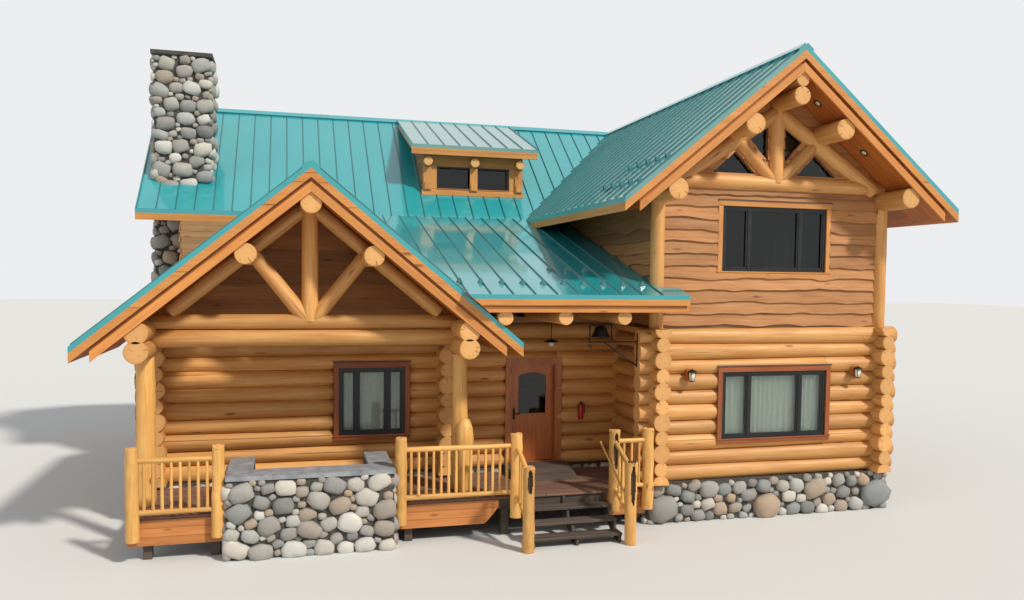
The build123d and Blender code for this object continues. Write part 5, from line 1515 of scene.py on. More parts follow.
@dataclass
class Timbers:
    """Round timbers: purlins, truss, corner posts, porch columns and rafter ends."""

    yard: Yard

    def logs(
        self, name: str, rows: Sequence[LogRow], slot: Slot, node: str, clips: Sequence[Clip] = ()
    ) -> None:
        """Build a set of logs as the one piece that stands for a node."""
        rng = random.Random(len(name) * 13 + len(rows))
        whole = new_bm()
        for row in rows:
            start, end, first, _ = row
            cuts = max(2, int((Vector(end) - Vector(start)).length * 3))
            add_logs(whole, [row], rng, (24, cuts, min(0.006, first * 0.05), min(0.01, first * 0.08)), clips)
        self.yard.piece(name, whole, LOG_SKINS, slot, [node])

    def build(self) -> None:
        """Build the timbers of the wing and the porch."""
        wing = []
        for x, z, r in (
            (WING_RIDGE_X, 8.5766, 0.14),
            (WING_RIDGE_X, 8.2666, 0.175),
            (WING_RIDGE_X - 0.98, 7.6911, 0.20),
            (WING_RIDGE_X + 0.98, 7.6911, 0.20),
            (WING_LEFT, 6.4165, 0.20),
            (WING_RIGHT, 6.4165, 0.20),
        ):
            wing.append(((x, WING_Y1 + PURLIN_SETBACK, z), (x, WING_FRONT + 0.05, z), r, r * 0.97))
            wing.append(((x, BACK - 0.05, z), (x, WING_Y2 - PURLIN_SETBACK, z), r, r * 0.97))
        planes = gable_planes(WING_RIDGE_X, RIDGE_Z, WING_PITCH, LAYER_DROP, 0)
        self.logs("purlins_wing", wing, Slot.LOG, "wing_purlins", planes)
        self.trusses(planes)
        corners = ((WING_LEFT, WING_FRONT), (WING_RIGHT, WING_FRONT), (WING_RIGHT, BACK), (MAIN_LEFT, BACK))
        posts = [((x, y, WALL_TOP), (x, y, 6.62), 0.14, 0.135) for x, y in corners]
        self.logs("posts_corner", posts, Slot.POLE, "corner_posts")
        self.porch()

    def trusses(self, wing: Sequence[Clip]) -> None:
        """Build the half logs on the wing's gable and the truss of the porch."""
        face = WING_FRONT - SEAT_GAP
        half = [*wing, (Vector((0, face, 0)), Vector((0, 1, 0)))]
        middle, porch_y = WING_RIDGE_X, TRUSS_Y
        rows = [
            ((WING_LEFT, face, 6.69), (WING_RIGHT, face, 6.69), 0.15, 0.145),
            ((middle, face, 6.69), (middle, face, 8.15), 0.16, 0.15),
        ]
        for side in (-1, 1):
            foot, head = (middle + side * 0.08, face, 6.74), (middle + side * 0.86, face, 7.51)
            rows.append((foot, head, 0.135, 0.13))
            foot, head = (middle + side * 2.3, face, 6.62), (middle + side * 0.06, face, 8.07)
            rows.append((foot, head, 0.16, 0.155))
        rng = random.Random(97)
        whole = new_bm()
        add_logs(whole, rows, rng, (24, 5, 0.004, 0.004), half)
        across = PORCH_RIDGE_X
        right, left = COLUMN_X
        rows = [
            ((left, porch_y, 3.63), (right, porch_y, 3.63), 0.155, 0.145),
            ((left, porch_y, 3.92), (right, porch_y, 3.92), 0.135, 0.13),
            ((across, porch_y, 3.92), (across, porch_y, 5.9677), 0.15, 0.14),
        ]
        for side in (-1, 1):
            foot, head = (across + side * 0.08, porch_y, 3.98), (across + side * 1.02, porch_y, 5.16)
            rows.append((foot, head, 0.135, 0.125))
            rows.append(((across + side * 2.35, porch_y, 4.084), (across, porch_y, 6.021), 0.135, 0.13))
        porch = gable_planes(across, PORCH_RIDGE_Z, WING_PITCH, LAYER_DROP, 0)
        add_logs(whole, rows, rng, (24, 6, 0.005, 0.006), porch)
        self.yard.piece("trusses", whole, LOG_SKINS, Slot.LOG, ["gable_trusses"])

    def porch(self) -> None:
        """Build the porch's purlins, rafters, columns and burl post."""
        rows = []
        front = PORCH_Y1 + PURLIN_SETBACK
        for x, z, r, end in (
            (COLUMN_X[0], 3.47, 0.19, -4.3828),
            (COLUMN_X[0], 3.78, 0.19, -4.3828),
            (COLUMN_X[1], 3.47, 0.19, -4.2048),
            (COLUMN_X[1], 3.78, 0.19, -4.2048),
            (PORCH_RIDGE_X + 1.06, 5.094, 0.18, ENTRY),
            (PORCH_RIDGE_X - 1.06, 5.094, 0.18, ENTRY),
            (PORCH_RIDGE_X, 5.9677, 0.18, ENTRY),
        ):
            rows.append(((x, front, z), (x, end, z), r, r * 0.96))
        rng = random.Random(53)
        whole = new_bm()
        under = gable_planes(PORCH_RIDGE_X, PORCH_RIDGE_Z, WING_PITCH, LAYER_DROP, 0)
        add_logs(whole, rows, rng, (28, 6, 0.005, 0.008), under)
        rows = [((x, -6.2545, 4.037), (x, ENTRY, 4.037), 0.14, 0.13) for x in (-1.10125, 0.02875, 1.17875)]
        add_logs(whole, rows, rng, (28, 5, 0.004, 0.006), [PORCH_ABOVE])
        self.yard.piece("purlins_porch", whole, LOG_SKINS, Slot.LOG, ["porch_purlins"])
        columns = new_bm()
        for x in COLUMN_X:
            column = ((x, TRUSS_Y, DECK_Z), (x, TRUSS_Y, 3.31), 0.155, 0.145)
            merge(columns, log_mesh(*column, rng, 28, 16, 0.012, 0.02, swell=0.018))
        radii = (0.0, 0.15, 0.15, 0.13, 0.165, 0.12, 0.165, 0.15, 0.09, 0.0)
        heights = (0.0, 0.0, 0.1, 0.32, 0.52, 0.76, 1.0, 1.23, 1.37, 1.4)
        burl = tuple(zip(radii, heights))
        merge(columns, turned(burl, (-1.69125, -5.5445, DECK_Z), rng, 0, 28, 0.05))
        self.yard.piece("columns_porch", columns, POLE_SKINS, Slot.POLE, ["porch_columns"])


@dataclass
class Glazing:
    """Window trim, sashes, panes and what hangs behind the glass."""

    yard: Yard
    face_width: float = 0.1
    frame: float = 0.06
    sash: float = 0.036

    def windows(self) -> list[tuple[WallFace, float, float, float, float]]:
        """Every window: wall face, middle, width, sill and height."""
        found = []
        for sill, height, out in ((LOWER_SILL, LOWER_HEIGHT, 0.145), (UPPER_SILL, UPPER_HEIGHT, 0.0)):
            front = WallFace("", (WING_LEFT, WING_FRONT - out), 0)
            found.append((front, 2.56, 2.356, sill, height))
            right = WallFace("", (WING_RIGHT + out, WING_FRONT), 1)
            for c in SIDE_WINDOWS:
                found.append((right, c, 2 * SIDE_HALF, sill, height))
            back = WallFace("", (WING_RIGHT, BACK + out), 2)
            for x in (WING_RIDGE_X, *(MAIN_LEFT + c for c in REAR_WINDOWS)):
                found.append((back, WING_RIGHT - x, 2 * SIDE_HALF, sill, height))
        entry = WallFace("", (0, ENTRY - 0.145), 0)
        found.append((entry, -3.24125, 1.3, LOWER_SILL, LOWER_HEIGHT))
        return found

    def build(self) -> None:
        """Build the trim boards, sashes, panes and cloth."""
        rng = random.Random(77)
        trims = new_bm()
        sashes = new_bm()
        w = self.face_width
        for wall, middle, width, sill, height in self.windows():
            a1, a2, top = middle - width / 2, middle + width / 2, sill + height
            skin = 1 if sill > 3 else 0
            rows = (
                ((a1 - w, -0.04, top), (a2 + w, 0.0, top + w + 0.015), 0, skin),
                ((a1 - w, -0.04, sill - w), (a2 + w, 0.0, sill), 0, skin),
                ((a1 - w, -0.037, sill), (a1, 0.0, top), 2, skin),
                ((a2, -0.037, sill), (a2 + w, 0.0, top), 2, skin),
                ((a1 - w - 0.02, -0.055, sill - 0.02), (a2 + w + 0.02, -0.03, sill + 0.006), 0, skin),
                ((a1 - w - 0.02, -0.06, top + w + 0.01), (a2 + w + 0.02, -0.005, top + w + 0.03), 0, 2),
            )
            add_boards(trims, rows, rng, wall.matrix())
            inner = width - 4 * self.frame
            left = a1 + self.frame
            for share in (0.24, 0.52, 0.24):
                right = left + inner * share
                s = self.sash
                z1, z2 = sill + self.frame, top - self.frame
                rows = (
                    ((left, 0.012, z1), (right, 0.04, z1 + s), 0, 0),
                    ((left, 0.012, z2 - s), (right, 0.04, z2), 0, 0),
                    ((left, 0.012, z1 + s), (left + s, 0.04, z2 - s), 0, 0),
                    ((right - s, 0.012, z1 + s), (right, 0.04, z2 - s), 0, 0),
                )
                add_boards(sashes, rows, rng, wall.matrix())
                left = right + self.frame
        skins = ("StainedTrim", "PaleTrim", "TreadBoards")
        self.yard.piece("trim_windows", trims, skins, Slot.TRIM, ["window_trim"])
        self.yard.piece("sashes", sashes, ("BlackFrame",), Slot.WINDOW)
        self.panes()
        self.cloth()

    def panes(self) -> None:
        """Glaze the lower windows clear and the upper ones dark."""
        bm = new_bm()
        bm.from_mesh(frame["nodes"]["window_glass"].data)
        bmesh.ops.remove_doubles(bm, verts=bm.verts, dist=1e-4)
        for face in bm.faces:
            face.material_index = 1 if face.calc_center_median().z > 3.5 else 0
        self.yard.piece("panes", bm, ("WindowGlass", "DarkGlass"), Slot.GLASS, ["window_glass"])

    def cloth(self) -> None:
        """Hang a curtain on a rod behind every lower window."""
        rng = random.Random(79)
        rods = new_bm()
        for count, (wall, middle, width, sill, height) in enumerate(self.windows()):
            if sill > 3:
                continue
            z = sill + height - 0.075
            start, end = (middle - width / 2 - 0.01, 0.118, z), (middle + width / 2 + 0.01, 0.118, z)
            rod = log_mesh(start, end, 0.008, 0.008, rng, 8, 0, 0.0, 0.0, 0, 0)
            rod.transform(wall.matrix())
            merge(rods, rod)
            cover = (middle, width - 0.06, sill + 0.05, z - 0.004)
            self.curtain(f"curtain_{count + 1}", wall, cover, rng)
        self.yard.piece("curtain_rods", rods, ("BlackIron",), Slot.IRON)

    def curtain(self, name: str, wall: WallFace, cover: Sequence[float], rng: Rng) -> None:
        """Hang one gathered curtain.

        Args:
            name: Piece name.
            wall: Wall face of its window.
            cover: Middle along the face, width, and height of the hem and of the top.
            rng: Source of its folds.
        """
        middle, width, low, high = cover
        bm = new_bm()
        columns = int(width / 0.012)
        bmesh.ops.create_grid(bm, x_segments=columns, y_segments=6, size=0.5)
        seed = rng.uniform(0, 50)
        for vert in bm.verts:
            x = vert.co.x * width
            drop = 0.5 - vert.co.y
            wave = math.sin(x * 52 + 1.4 * math.sin(x * 7 + seed)) * 0.010 * (0.8 + 0.2 * drop)
            vert.co = (middle + x, 0.132 + wave, high - drop * (high - low))
        bm.verts.ensure_lookup_table()
        bmesh.ops.recalc_face_normals(bm, faces=bm.faces)
        bm.transform(wall.matrix())
        made = self.yard.piece(name, bm, ("CurtainCloth",), Slot.WINDOW)
        for polygon in made.data.polygons:
            polygon.use_smooth = True


@dataclass
class Dormer:
    """Framing, log ends and fascia of the dormer's front."""

    yard: Yard
    x1: float = WING_LEFT - 3.6
    x2: float = WING_LEFT - 0.97
    front: float = WING_FRONT + 6.33
    eave: float = WING_FRONT + 6.0
    sill: float = 7.06
    head: float = 7.54
    frame: float = 0.045

    def build(self) -> None:
        """Clad the front between its posts and close the eave."""
        rng = random.Random(91)
        boards = new_bm()
        y = self.front
        panes = [(self.x1 + 0.41, self.x1 + 1.24), (self.x1 + 1.39, self.x1 + 2.22)]
        sill, head, f = self.sill, self.head, self.frame
        posts = (self.x1 + 0.11, (panes[0][1] + panes[1][0]) / 2, self.x2 - 0.11)
        rows = [
            ((self.x1, y - 0.035, head + 0.05), (self.x2, y, 8.02), 0, 0),
            ((self.x1 - 0.03, y - 0.06, 6.84), (self.x2 + 0.03, y, 6.96), 0, 0),
            ((self.x1, y - 0.035, 6.96), (self.x2, y, sill - 0.05), 0, 0),
        ]
        starts = (self.x1, panes[0][1] + 0.05, panes[1][1] + 0.05)
        ends = (panes[0][0] - 0.05, panes[1][0] - 0.05, self.x2)
        for a, b in zip(starts, ends):
            rows.append(((a, y - 0.04, sill - 0.05), (b, y, head + 0.05), 2, 0))
        for x in posts:
            rows.append(((x - 0.10, y - 0.085, 6.96), (x + 0.10, y - 0.04, 7.56), 2, 0))
            rows.append(((x - 0.075, y - 0.11, 6.985), (x + 0.075, y - 0.085, 7.17), 2, 0))
        for a, b in panes:
            a, b = a - 0.055, b + 0.055
            rows.append(((a, y - 0.055, sill - 0.055), (b, y - 0.03, sill - 0.04), 0, 0))
            rows.append(((a, y - 0.055, head + 0.04), (b, y - 0.03, head + 0.055), 0, 0))
        rows.append(
            ((self.x1 - 0.33, self.eave + 0.004, 7.83), (self.x2 + 0.33, self.eave + 0.045, 7.955), 0, 0)
        )
        add_boards(boards, rows, rng)
        self.yard.piece("dormer_boards", boards, ("PaleTrim",), Slot.TRIM)
        frames = new_bm()
        front, back = y - 0.05, y + 0.03
        for a, b in panes:
            rows = (
                ((a - f, front, sill - f), (b + f, back, sill), 0, 0),
                ((a - f, front, head), (b + f, back, head + f), 0, 0),
                ((a - f, front, sill), (a, back, head), 0, 0),
                ((b, front, sill), (b + f, back, head), 0, 0),
            )
            add_boards(frames, rows, rng)
        self.yard.piece("dormer_frames", frames, ("BlackFrame",), Slot.WINDOW)
        logs = new_bm()
        rows = [((x, self.eave + 0.09, 7.68), (x, y + 0.05, 7.68), 0.115, 0.115) for x in posts]
        add_logs(logs, rows, rng, (24, 2, 0.004, 0.0))
        self.yard.piece("dormer_log_ends", logs, LOG_SKINS, Slot.LOG)


@dataclass
class DeckWork:
    """Deck boards, skirt, stair, posts and peeled pole rails."""

    yard: Yard
    board: float = 0.14

    def boards(self) -> None:
        """Lay the deck boards and the skirt."""
        rng = random.Random(41)
        whole = new_bm()
        x1, x2 = MAIN_LEFT - 0.19, WING_LEFT - 0.19
        y = DECK_Y1
        last = ENTRY - 0.19
        sx1, sx2, _, sy2 = SURROUND
        while y < last - 0.02:
            high = min(y + self.board - 0.006, last)
            spans = [(x1, sx1), (sx2, x2)] if y < sy2 else [(x1, x2)]
            for a, b in spans:
                joint = a + (b - a) * rng.uniform(0.3, 0.7)
                halves = ((a, joint - 0.002), (joint + 0.002, b))
                rows = [((p, y, DECK_Z - 0.04), (q, high, DECK_Z), 0, 0) for p, q in halves]
                add_boards(whole, rows, rng)
            y += self.board
        self.yard.piece("boards_deck", whole, ("DeckBoards",), Slot.DECK, ["deck"])
        skirt = new_bm()
        end = WING_LEFT - 3.19
        curve = ((end - 0.28, 0.26), (end - 0.21, 0.32), (end - 0.084, 0.46), (end, 0.575))
        cuts = [
            slope_plane((px, 0, pz), (qz - pz, 0, px - qx))
            for (px, pz), (qx, qz) in zip(curve, curve[1:])
        ]
        for a, b in ((x1 - SEAT_GAP, sx1), (sx2, end), (0.96875, x2 - 0.12)):
            for index in range(3):
                low = 0.26 + index * 0.145
                part = board_mesh((a, DECK_Y1, low + 0.002), (b, DECK_Y1 + 0.045, low + 0.143), 0, rng)
                merge(skirt, clip_all(part, cuts if b == end else ()))
        self.yard.piece("boards_skirt", skirt, ("SkirtBoards",), Slot.DECK, ["deck_skirt"])

    def stair(self) -> None:
        """Build the treads."""
        rng = random.Random(43)
        whole = new_bm()
        rise = DECK_Z / 4
        x1, x2 = WING_LEFT - 2.78, WING_LEFT - 1.1
        for step in range(1, 4):
            back = DECK_Y1 - 0.28 * (3 - step)
            top = rise * step
            rows = [
                ((x1, back - reach, top - 0.052), (x2, back - reach + 0.134, top), 0, 0)
                for reach in (0.28, 0.14)
            ]
            add_boards(whole, rows, rng, ease=0.008)
        self.yard.piece("treads", whole, ("TreadBoards",), Slot.DECK, ["stair_treads"])

    def rails(self) -> None:
        """Build posts, rails and balusters from peeled poles."""
        rng = random.Random(45)
        post_y, newel_y = -6.1145, -6.9345
        xs = [-7.30125, -5.97125, -2.94125, -0.83625, 1.07375, 1.75875]
        posts = new_bm()
        for x in xs:
            merge(posts, self.post((x, post_y), 0.38, 1.93, 0.108, rng, 0.34 if x == xs[4] else 0.0))
        # The third finish is painted shade inside the knot holes.
        self.yard.piece("posts_rail", posts, (*POLE_SKINS, "HollowPaintedShade"), Slot.POLE, ["rail_posts"])
        newels = new_bm()
        for x, opening in ((xs[3], 0.2), (xs[4], 0.34)):
            merge(newels, self.post((x, newel_y), 0.0, 1.5, 0.107, rng, opening))
        # The third finish is painted shade inside the knot holes.
        self.yard.piece("posts_newel", newels, (*POLE_SKINS, "HollowPaintedShade"), Slot.POLE, ["newel_posts"])
        rails = new_bm()
        baluster = (10, 5, 0.003, 0.006)
        for a, b in ((xs[0], xs[1]), (xs[2], xs[3]), (xs[4], xs[5])):
            rows = [((a, post_y, z), (b, post_y, z), 0.048, 0.042) for z in (1.705, 0.85)]
            add_logs(rails, rows, rng, (12, 8, 0.004, 0.008))
            span = b - a - 0.22
            count = max(2, round(span / 0.138))
            middles = [a + 0.11 + span * (index + 0.5) / count for index in range(count)]
            rows = [((x, post_y, 0.85), (x, post_y, 1.70), 0.028, 0.025) for x in middles]
            add_logs(rails, rows, rng, baluster)
        for x in (xs[3], xs[4]):
            rise = ((1.34, 1.71), (0.48, 0.85))
            rows = [((x, newel_y, low), (x, post_y, high), 0.045, 0.042) for low, high in rise]
            add_logs(rails, rows, rng, (12, 5, 0.004, 0.006))
            for share in (0.3, 0.5, 0.7):
                y = newel_y + (post_y - newel_y) * share
                low = 0.48 + 0.37 * share
                add_logs(rails, [((x, y, low), (x, y, low + 0.86), 0.028, 0.025)], rng, baluster)
        handrail = ((0.94175, newel_y, 0.92), (0.94175, -5.7145, 1.62), 0.023, 0.020)
        add_logs(rails, [handrail], rng, (10, 6, 0.002, 0.008))
        self.yard.piece("rails", rails, POLE_SKINS, Slot.POLE, ["deck_rails"])

    def post(self, place: Point, low: float, high: float, radius: float, rng: Rng, reach: float) -> Mesh:
        """Peeled post with a rough top.

        Args:
            place: X and Y of its centre.
            low: Height of its foot.
            high: Height of its top.
            radius: Radius at the foot.
            rng: Source of its own variation.
            reach: Half the height of the knot hole in its front, or 0 where it has none.

        Returns:
            The post in the row frame.
        """
        foot, head = (*place, low), (*place, high)
        bm = log_mesh(foot, head, radius, radius * 0.92, rng, 48, 60, 0.012, 0.006, swell=0.02)
        seed = Vector((rng.uniform(0, 60), 0, 0))
        front = Vector((0, -1, 0))
        for vert in bm.verts:
            out = Vector((vert.co.x - place[0], vert.co.y - place[1], 0))
            if vert.co.z > high - 0.03:
                vert.co.z -= abs(noise.noise(vert.co * 14 + seed)) * 0.06
            if out.length < 0.03:
                continue
            facing = out.normalized().dot(front)
            depth = 0.0
            if reach:
                height = (vert.co.z - high + reach + 0.06) / reach
                height += 0.25 * noise.noise(vert.co * 16 + seed)
                opening = 0.14 * max(0.0, 1 - height * height)
                depth = 0.55 * max(0.0, (facing - 1 + opening) / (opening + 1e-6)) if opening else 0.0
            if depth > 0:
                vert.co.x -= out.x * depth
                vert.co.y -= out.y * depth
                # The deepest faces of the hole take the near-black finish: painted shade in the hollow.
                if depth > 0.16:
                    for face in vert.link_faces:
                        face.material_index = 2
        return bm

    def build(self) -> None:
        """Build the whole deck."""
        self.boards()
        self.stair()
        self.rails()


@dataclass
class Fittings:
    """Bell on its bracket, lanterns, pendant, soffit lights and the extinguisher."""

    yard: Yard
    bar: float = 0.012

    def bell(self) -> None:
        """Hang the bell from its yoke over a scrolled bracket."""
        rng = random.Random(21)
        x, y = 0.91875, WING_FRONT
        outer = ((0.19, 0.0), (0.182, 0.014), (0.1444, 0.0645), (0.114, 0.161), (0.076, 0.2042), (0.0, 0.215))
        inner = ((0.0, 0.19), (0.066, 0.18), (0.10, 0.15), (0.128, 0.064), (0.172, 0.006), (0.19, 0.0))
        whole = turned((*inner, *outer[1:]), (x, y, 3.64), rng, 0, 32)
        clapper = ((0.0, 0.0), (0.022, 0.008), (0.028, 0.03), (0.01, 0.05), (0.007, 0.19), (0.0, 0.19))
        merge(whole, turned(clapper, (x, y, 3.615), rng, 0, 12))
        b = self.bar
        rows = (
            ((x - 0.234, y - b, 3.853), (x + 0.234, y + b, 3.879), 0, 0),
            ((x - 0.234, y - b, 3.555), (x - 0.21, y + b, 3.86), 0, 0),
            ((x + 0.21, y - b, 3.555), (x + 0.234, y + b, 3.86), 0, 0),
            ((0.65875, y - b, 3.531), (1.67845, y + b, 3.555), 0, 0),
            ((1.66645, y - 0.02, 3.05), (1.67845, y + 0.02, 3.705), 0, 0),
        )
        add_boards(whole, rows, rng, ease=0.002)
        merge(whole, rod_path([(1.66645, y, 3.08), (0.97875, y, 3.543)], b, rng))
        for cx, cz, size, turns in ((1.50, 3.42, 0.075, 1.4), (0.70, 3.47, 0.05, 1.2)):
            points = []
            for step in range(15):
                share = step / 14
                angle = -math.pi / 2 + share * turns * math.tau
                radius = size * (1 - 0.75 * share)
                points.append((cx + radius * math.cos(angle), y, cz + radius * math.sin(angle)))
            merge(whole, rod_path(points, 0.007, rng))
        self.yard.piece("bell_and_bracket", whole, ("BlackIron",), Slot.IRON, ["bell"])

    def lamps(self) -> None:
        """Build both lanterns on their blocks and the pendant over the door."""
        rng = random.Random(23)
        whole = new_bm()
        hood = ((0, 0), (0.0945, 0), (0.09, 0.012), (0.05, 0.042), (0.02, 0.05), (0.014, 0.06), (0, 0.06))
        foot = ((0.0, 0.0), (0.03, 0.0), (0.0545, 0.012), (0.0545, 0.02), (0.0, 0.02))
        glass = ((0.0, 0.0), (0.046, 0.0), (0.064, 0.172), (0.0, 0.172))
        wall, y = -5.8995, -5.9845
        for x in (2.71075, 6.45875):
            backing = ((x - 0.075, wall, 2.79), (x + 0.075, WING_FRONT - 0.1, 3.01), 2, 2)
            add_boards(whole, [backing], rng)
            for profile, z, skin, sides in ((hood, 2.96, 0, 20), (foot, 2.77, 0, 16), (glass, 2.789, 1, 16)):
                merge(whole, turned(profile, (x, y, z), rng, skin, sides))
            for corner in range(4):
                angle = math.pi / 4 + corner * math.pi / 2
                cos, sin = math.cos(angle), math.sin(angle)
                low = (x + 0.0505 * cos, y + 0.0505 * sin, 2.785)
                high = (x + 0.070 * cos, y + 0.070 * sin, 2.965)
                merge(whole, rod_path([low, high], 0.004, rng, 0, 6))
            add_boards(whole, [((x - 0.012, y, 2.97), (x + 0.012, wall, 2.994), 1, 0)], rng)
        x, y = 0.37875, -4.2945
        globe = ((0.0, 0.0), (0.03, 0.004), (0.052, 0.03), (0.055, 0.06), (0.045, 0.10), (0.0, 0.10))
        merge(whole, turned(globe, (x, y, 3.352), rng, 1, 20))
        shade = ((0, 0), (0.04, 0), (0.15, -0.012), (0.148, 0), (0.06, 0.036), (0.03, 0.05), (0, 0.05))
        merge(whole, turned(shade, (x, y, 3.452), rng, 0, 24))
        merge(whole, rod_path([(x, y, 3.49), (x, y, 4.858)], 0.008, rng))
        self.yard.piece("lanterns", whole, ("BlackIron", "MilkGlass", "DoorCasing"), Slot.IRON, ["lamps"])

    def soffit_lights(self) -> None:
        """Set two round lights into the boards under the wing's gable."""
        rng = random.Random(25)
        whole = new_bm()
        normal = Vector((WING_PITCH, 0, 1)).normalized()
        turn = (-normal).to_track_quat("Z", "Y").to_matrix().to_4x4()
        ring = ((0.0, -0.01), (0.085, -0.01), (0.085, 0.006), (0.07, 0.012), (0.06, 0.006), (0.0, 0.003))
        lens = ((0.0, 0.002), (0.056, 0.002), (0.05, 0.008), (0.0, 0.010))
        for across in (0.62, 1.72):
            z = RIDGE_Z - LAYER_DROP - WING_PITCH * across
            place = Matrix.Translation(Vector((WING_RIDGE_X + across, WING_FRONT - 0.45, z))) @ turn
            light = turned(ring, (0, 0, 0), rng, 0, 24)
            merge(light, turned(lens, (0, 0, 0), rng, 1, 24))
            light.transform(place)
            merge(whole, light)
        self.yard.piece("soffit_lights", whole, ("BlackIron", "MilkGlass"), Slot.IRON)

    def extinguisher(self) -> None:
        """Hang the small red extinguisher on the entry wall."""
        rng = random.Random(27)
        x, y, z = 1.13, ENTRY - BUTT - 0.062, 1.78
        body = ((0, 0), (0.05, 0), (0.055, 0.012), (0.055, 0.27), (0.045, 0.305), (0.018, 0.325), (0, 0.325))
        whole = turned(body, (x, y, z), rng, 0, 20)
        valve = ((x - 0.012, y - 0.03, z + 0.32), (x + 0.012, y + 0.02, z + 0.36), 1, 1)
        handle = ((x - 0.01, y - 0.06, z + 0.355), (x + 0.01, y + 0.03, z + 0.372), 1, 1)
        add_boards(whole, [valve, handle], rng)
        bends = ((0.01, 0.34), (0.07, 0.30), (0.072, 0.12))
        merge(whole, rod_path([(x + dx, y - 0.02, z + dz) for dx, dz in bends], 0.009, rng, 1))
        hook = ((x - 0.02, y + 0.05, z + 0.04), (x + 0.02, ENTRY - 0.12, z + 0.30), 2, 1)
        add_boards(whole, [hook], rng)
        self.yard.piece("extinguisher", whole, ("RedEnamel", "BlackIron"), Slot.IRON)

    def build(self) -> None:
        """Build every fitting."""
        self.bell()
        self.lamps()
        self.soffit_lights()
        self.extinguisher()


@dataclass
class Shell:
    """Nodes that stay as the frame has them: inner walls, floors, masonry, framing and the door."""

    yard: Yard

    def build(self) -> None:
        """Give each its finish."""
        for finish, nodes in STAYING.items():
            for node in nodes.split():
                self.yard.dress(node, finish)


@dataclass
class Rakes:
    """Soffit boards under the gable overhangs and the lower barge and eave boards."""

    yard: Yard
    thickness: float = 0.045
    top_drop: float = 0.325
    bottom_drop: float = 0.5
    setback: float = 0.075
    board: float = 0.145

    def gable(self, boards: Mesh, soffit: Mesh, ridge: Point, run: float, wall: float, rng: Rng) -> None:
        """Board one gable's overhang.

        Args:
            boards: Where the barge boards go.
            soffit: Where the soffit boards go.
            ridge: Ridge point at the gable's edge.
            run: Distance from the ridge to the boards' lower ends.
            wall: Y of the wall that the soffit meets.
            rng: Source of the boards' variation.
        """
        ridge = Vector(ridge)
        way = 1 if wall > ridge.y else -1
        steep = math.hypot(1, WING_PITCH)
        edge = ridge.y + way * self.setback
        for side in (-1, 1):
            up = Vector((side * WING_PITCH, 0, 1)).normalized()
            slope = Vector((side, 0, -WING_PITCH)).normalized()
            reach = run * steep
            ends = (
                (Vector((ridge.x, 0, 0)), Vector((-side, 0, 0))),
                (Vector((ridge.x + side * run, 0, 0)), Vector((side, 0, 0))),
            )
            strips = [(boards, edge - way * self.thickness, edge, self.top_drop, self.bottom_drop)]
            y = edge
            while abs(wall - y) > 0.01:
                after = y + way * min(self.board, abs(wall - y))
                strips.append((soffit, y, after - way * 0.004, ROOF_DEPTH, LAYER_DROP))
                y = after
            for target, y1, y2, top, bottom in strips:
                start = Vector((ridge.x, (y1 + y2) / 2, ridge.z - (top + bottom) / 2))
                end = start + slope * reach + slope * 0.3
                depth = (bottom - top) / steep
                part = beam_mesh(start - slope * 0.3, end, abs(y2 - y1), depth, up, rng)
                merge(target, clip_all(part, ends))

    def eave(self, boards: Mesh, rng: Rng) -> None:
        """Board the edge under the shallow roof, with a dark gap above it."""
        y = SHALLOW_Y1 + 0.06
        for low, high in (
            ((-1.9, y, 4.131), (2.42875, y + 0.045, 4.232)),
            ((-1.9, y + 0.022, 4.23), (2.42875, y + 0.045, 4.275)),
        ):
            merge(boards, clip_all(board_mesh(low, high, 0, rng), [PORCH_ABOVE]))

    def build(self) -> None:
        """Board every gable edge and the shallow roof's eave."""
        rng = random.Random(61)
        boards, soffit = new_bm(), new_bm()
        for ridge, run, wall in (
            ((WING_RIDGE_X, WING_Y1, RIDGE_Z), WING_RUN - 0.3, WING_FRONT - SEAT_GAP),
            ((WING_RIDGE_X, WING_Y2, RIDGE_Z), WING_RUN - 0.3, BACK + SEAT_GAP),
            ((PORCH_RIDGE_X, PORCH_Y1, PORCH_RIDGE_Z), PORCH_RUN - 0.3, ENTRY),
        ):
            self.gable(boards, soffit, ridge, run, wall, rng)
        self.eave(boards, rng)
        self.yard.piece("rake_boards", boards, ("BargeBoard",), Slot.TRIM, ["barge_boards"])
        # The soffit boards' finish is darkened with painted shade.
        self.yard.piece("soffit_boards", soffit, ("SoffitBoardsPaintedShade",), Slot.TRIM, ["barge_boards"])


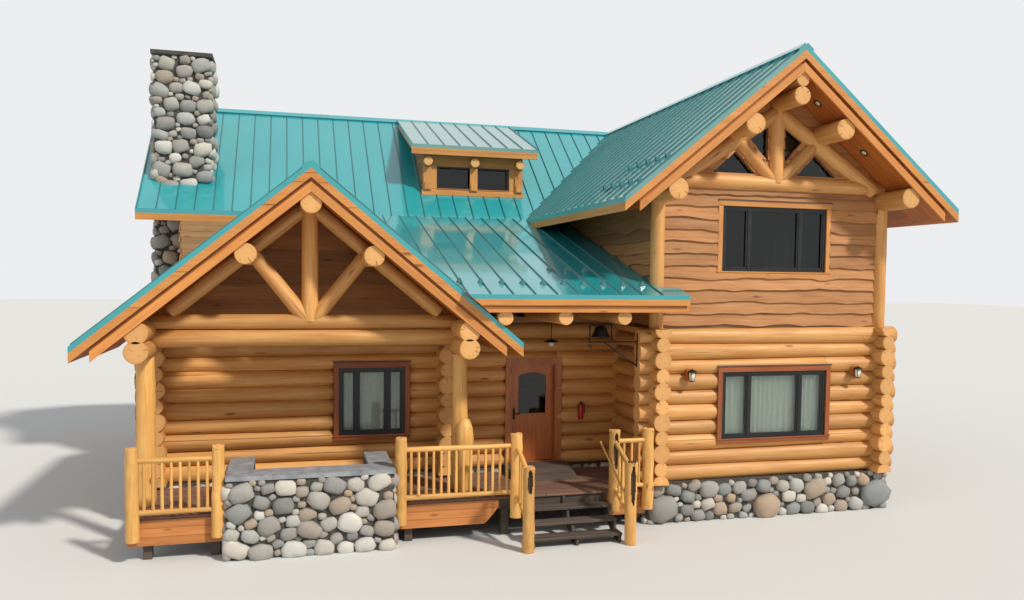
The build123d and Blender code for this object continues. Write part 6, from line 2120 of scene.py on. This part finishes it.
@dataclass
class Studio:
    """Floor, light and the camera of the reference view."""

    focal: float = 828.05
    yaw: float = math.radians(15.064)
    pitch: float = math.radians(-3.01)
    roll: float = math.radians(0.671)
    spot: tuple[float, float, float] = (-6.886 + WING_LEFT, -14.811 + WING_FRONT, 4.727)
    width: int = 1024
    height: int = 600
    principal: float = 322.46

    def floor(self) -> None:
        """Lay the pale floor."""
        bm = new_bm()
        bmesh.ops.create_grid(bm, x_segments=1, y_segments=1, size=150)
        mesh = bpy.data.meshes.new("floor")
        bm.to_mesh(mesh)
        bm.free()
        made = bpy.data.objects.new("floor", mesh)
        bpy.context.scene.collection.objects.link(made)
        made.location.z = -0.002
        material, g = new_material("PaleFloor")
        g.dress(Base_Color=(0.62, 0.62, 0.60, 1), Roughness=0.9)
        mesh.materials.append(material)
        made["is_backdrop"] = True

    def light(self) -> None:
        """Set the sky and the soft key light."""
        world = bpy.data.worlds.new("sky")
        bpy.context.scene.world = world
        world.use_nodes = True
        g = Graph(world.node_tree)
        sky = world.node_tree.nodes["Background"]
        g.feed(sky.inputs["Color"], (0.92, 0.95, 1.0, 1))
        g.feed(sky.inputs["Strength"], 0.52)
        pale = g.node("Background", {"Color": (0.84, 0.85, 0.86, 1), "Strength": 1.0})
        rays = g.node("LightPath").outputs
        seen = g.math("MAXIMUM", rays["Is Camera Ray"], rays["Is Glossy Ray"])
        seen = g.math("MAXIMUM", seen, rays["Is Transmission Ray"])
        mix = g.node("MixShader")
        for index, value in enumerate((seen, sky.outputs[0], pale.outputs[0])):
            g.feed(mix.inputs[index], value)
        g.feed(world.node_tree.nodes["World Output"].inputs["Surface"], mix.outputs[0])
        for name, energy, turn, angle, colour in (
            ("key", 3.3, (math.radians(47), 0, math.radians(38)), 5.0, (1.0, 0.95, 0.87)),
            ("fill", 0.35, (math.radians(62), 0, math.radians(-70)), 40.0, (0.92, 0.96, 1.0)),
        ):
            lamp = bpy.data.lights.new(name, "SUN")
            lamp.energy = energy
            lamp.angle = math.radians(angle)
            lamp.color = colour
            made = bpy.data.objects.new(name, lamp)
            made.rotation_euler = turn
            bpy.context.scene.collection.objects.link(made)

    def camera(self) -> None:
        """Place the camera at the reference view."""
        sin, cos = math.sin, math.cos
        ahead = Vector((sin(self.yaw) * cos(self.pitch), cos(self.yaw) * cos(self.pitch), sin(self.pitch)))
        right = Vector((cos(self.yaw), -sin(self.yaw), 0))
        up = right.cross(ahead)
        side = right * cos(self.roll) + up * sin(self.roll)
        top = -right * sin(self.roll) + up * cos(self.roll)
        lens = bpy.data.cameras.new("view")
        lens.sensor_width = 36
        lens.lens = self.focal * 36 / self.width
        lens.shift_y = (self.principal - self.height / 2) / self.width
        lens.clip_end = 500
        made = bpy.data.objects.new("view", lens)
        turn = Matrix((side, top, -ahead)).transposed().to_4x4()
        made.matrix_world = Matrix.Translation(self.spot) @ turn
        bpy.context.scene.collection.objects.link(made)
        bpy.context.scene.camera = made

    def build(self) -> None:
        """Set up the whole studio."""
        self.floor()
        self.light()
        self.camera()
        bpy.context.scene.view_settings.view_transform = "Standard"


GROUPS = (
    Shell,
    LogStorey,
    Siding,
    Roofs,
    Rakes,
    Stonework,
    Timbers,
    Glazing,
    Dormer,
    DeckWork,
    Fittings,
)


def main() -> None:
    """Build every sub-assembly in order."""
    logging.basicConfig(level=logging.INFO, format="%(message)s")
    yard = Yard(Finishes())
    for group in GROUPS:
        LOG.info("building %s", group.__name__)
        group(yard).build()
    Studio().build()
    boxes = {"cad": [list(v) for v in CAD_BOX], "visual": [list(v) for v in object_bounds()]}
    LOG.info("sizes %s", boxes)


if __name__ == "__main__":
    main()
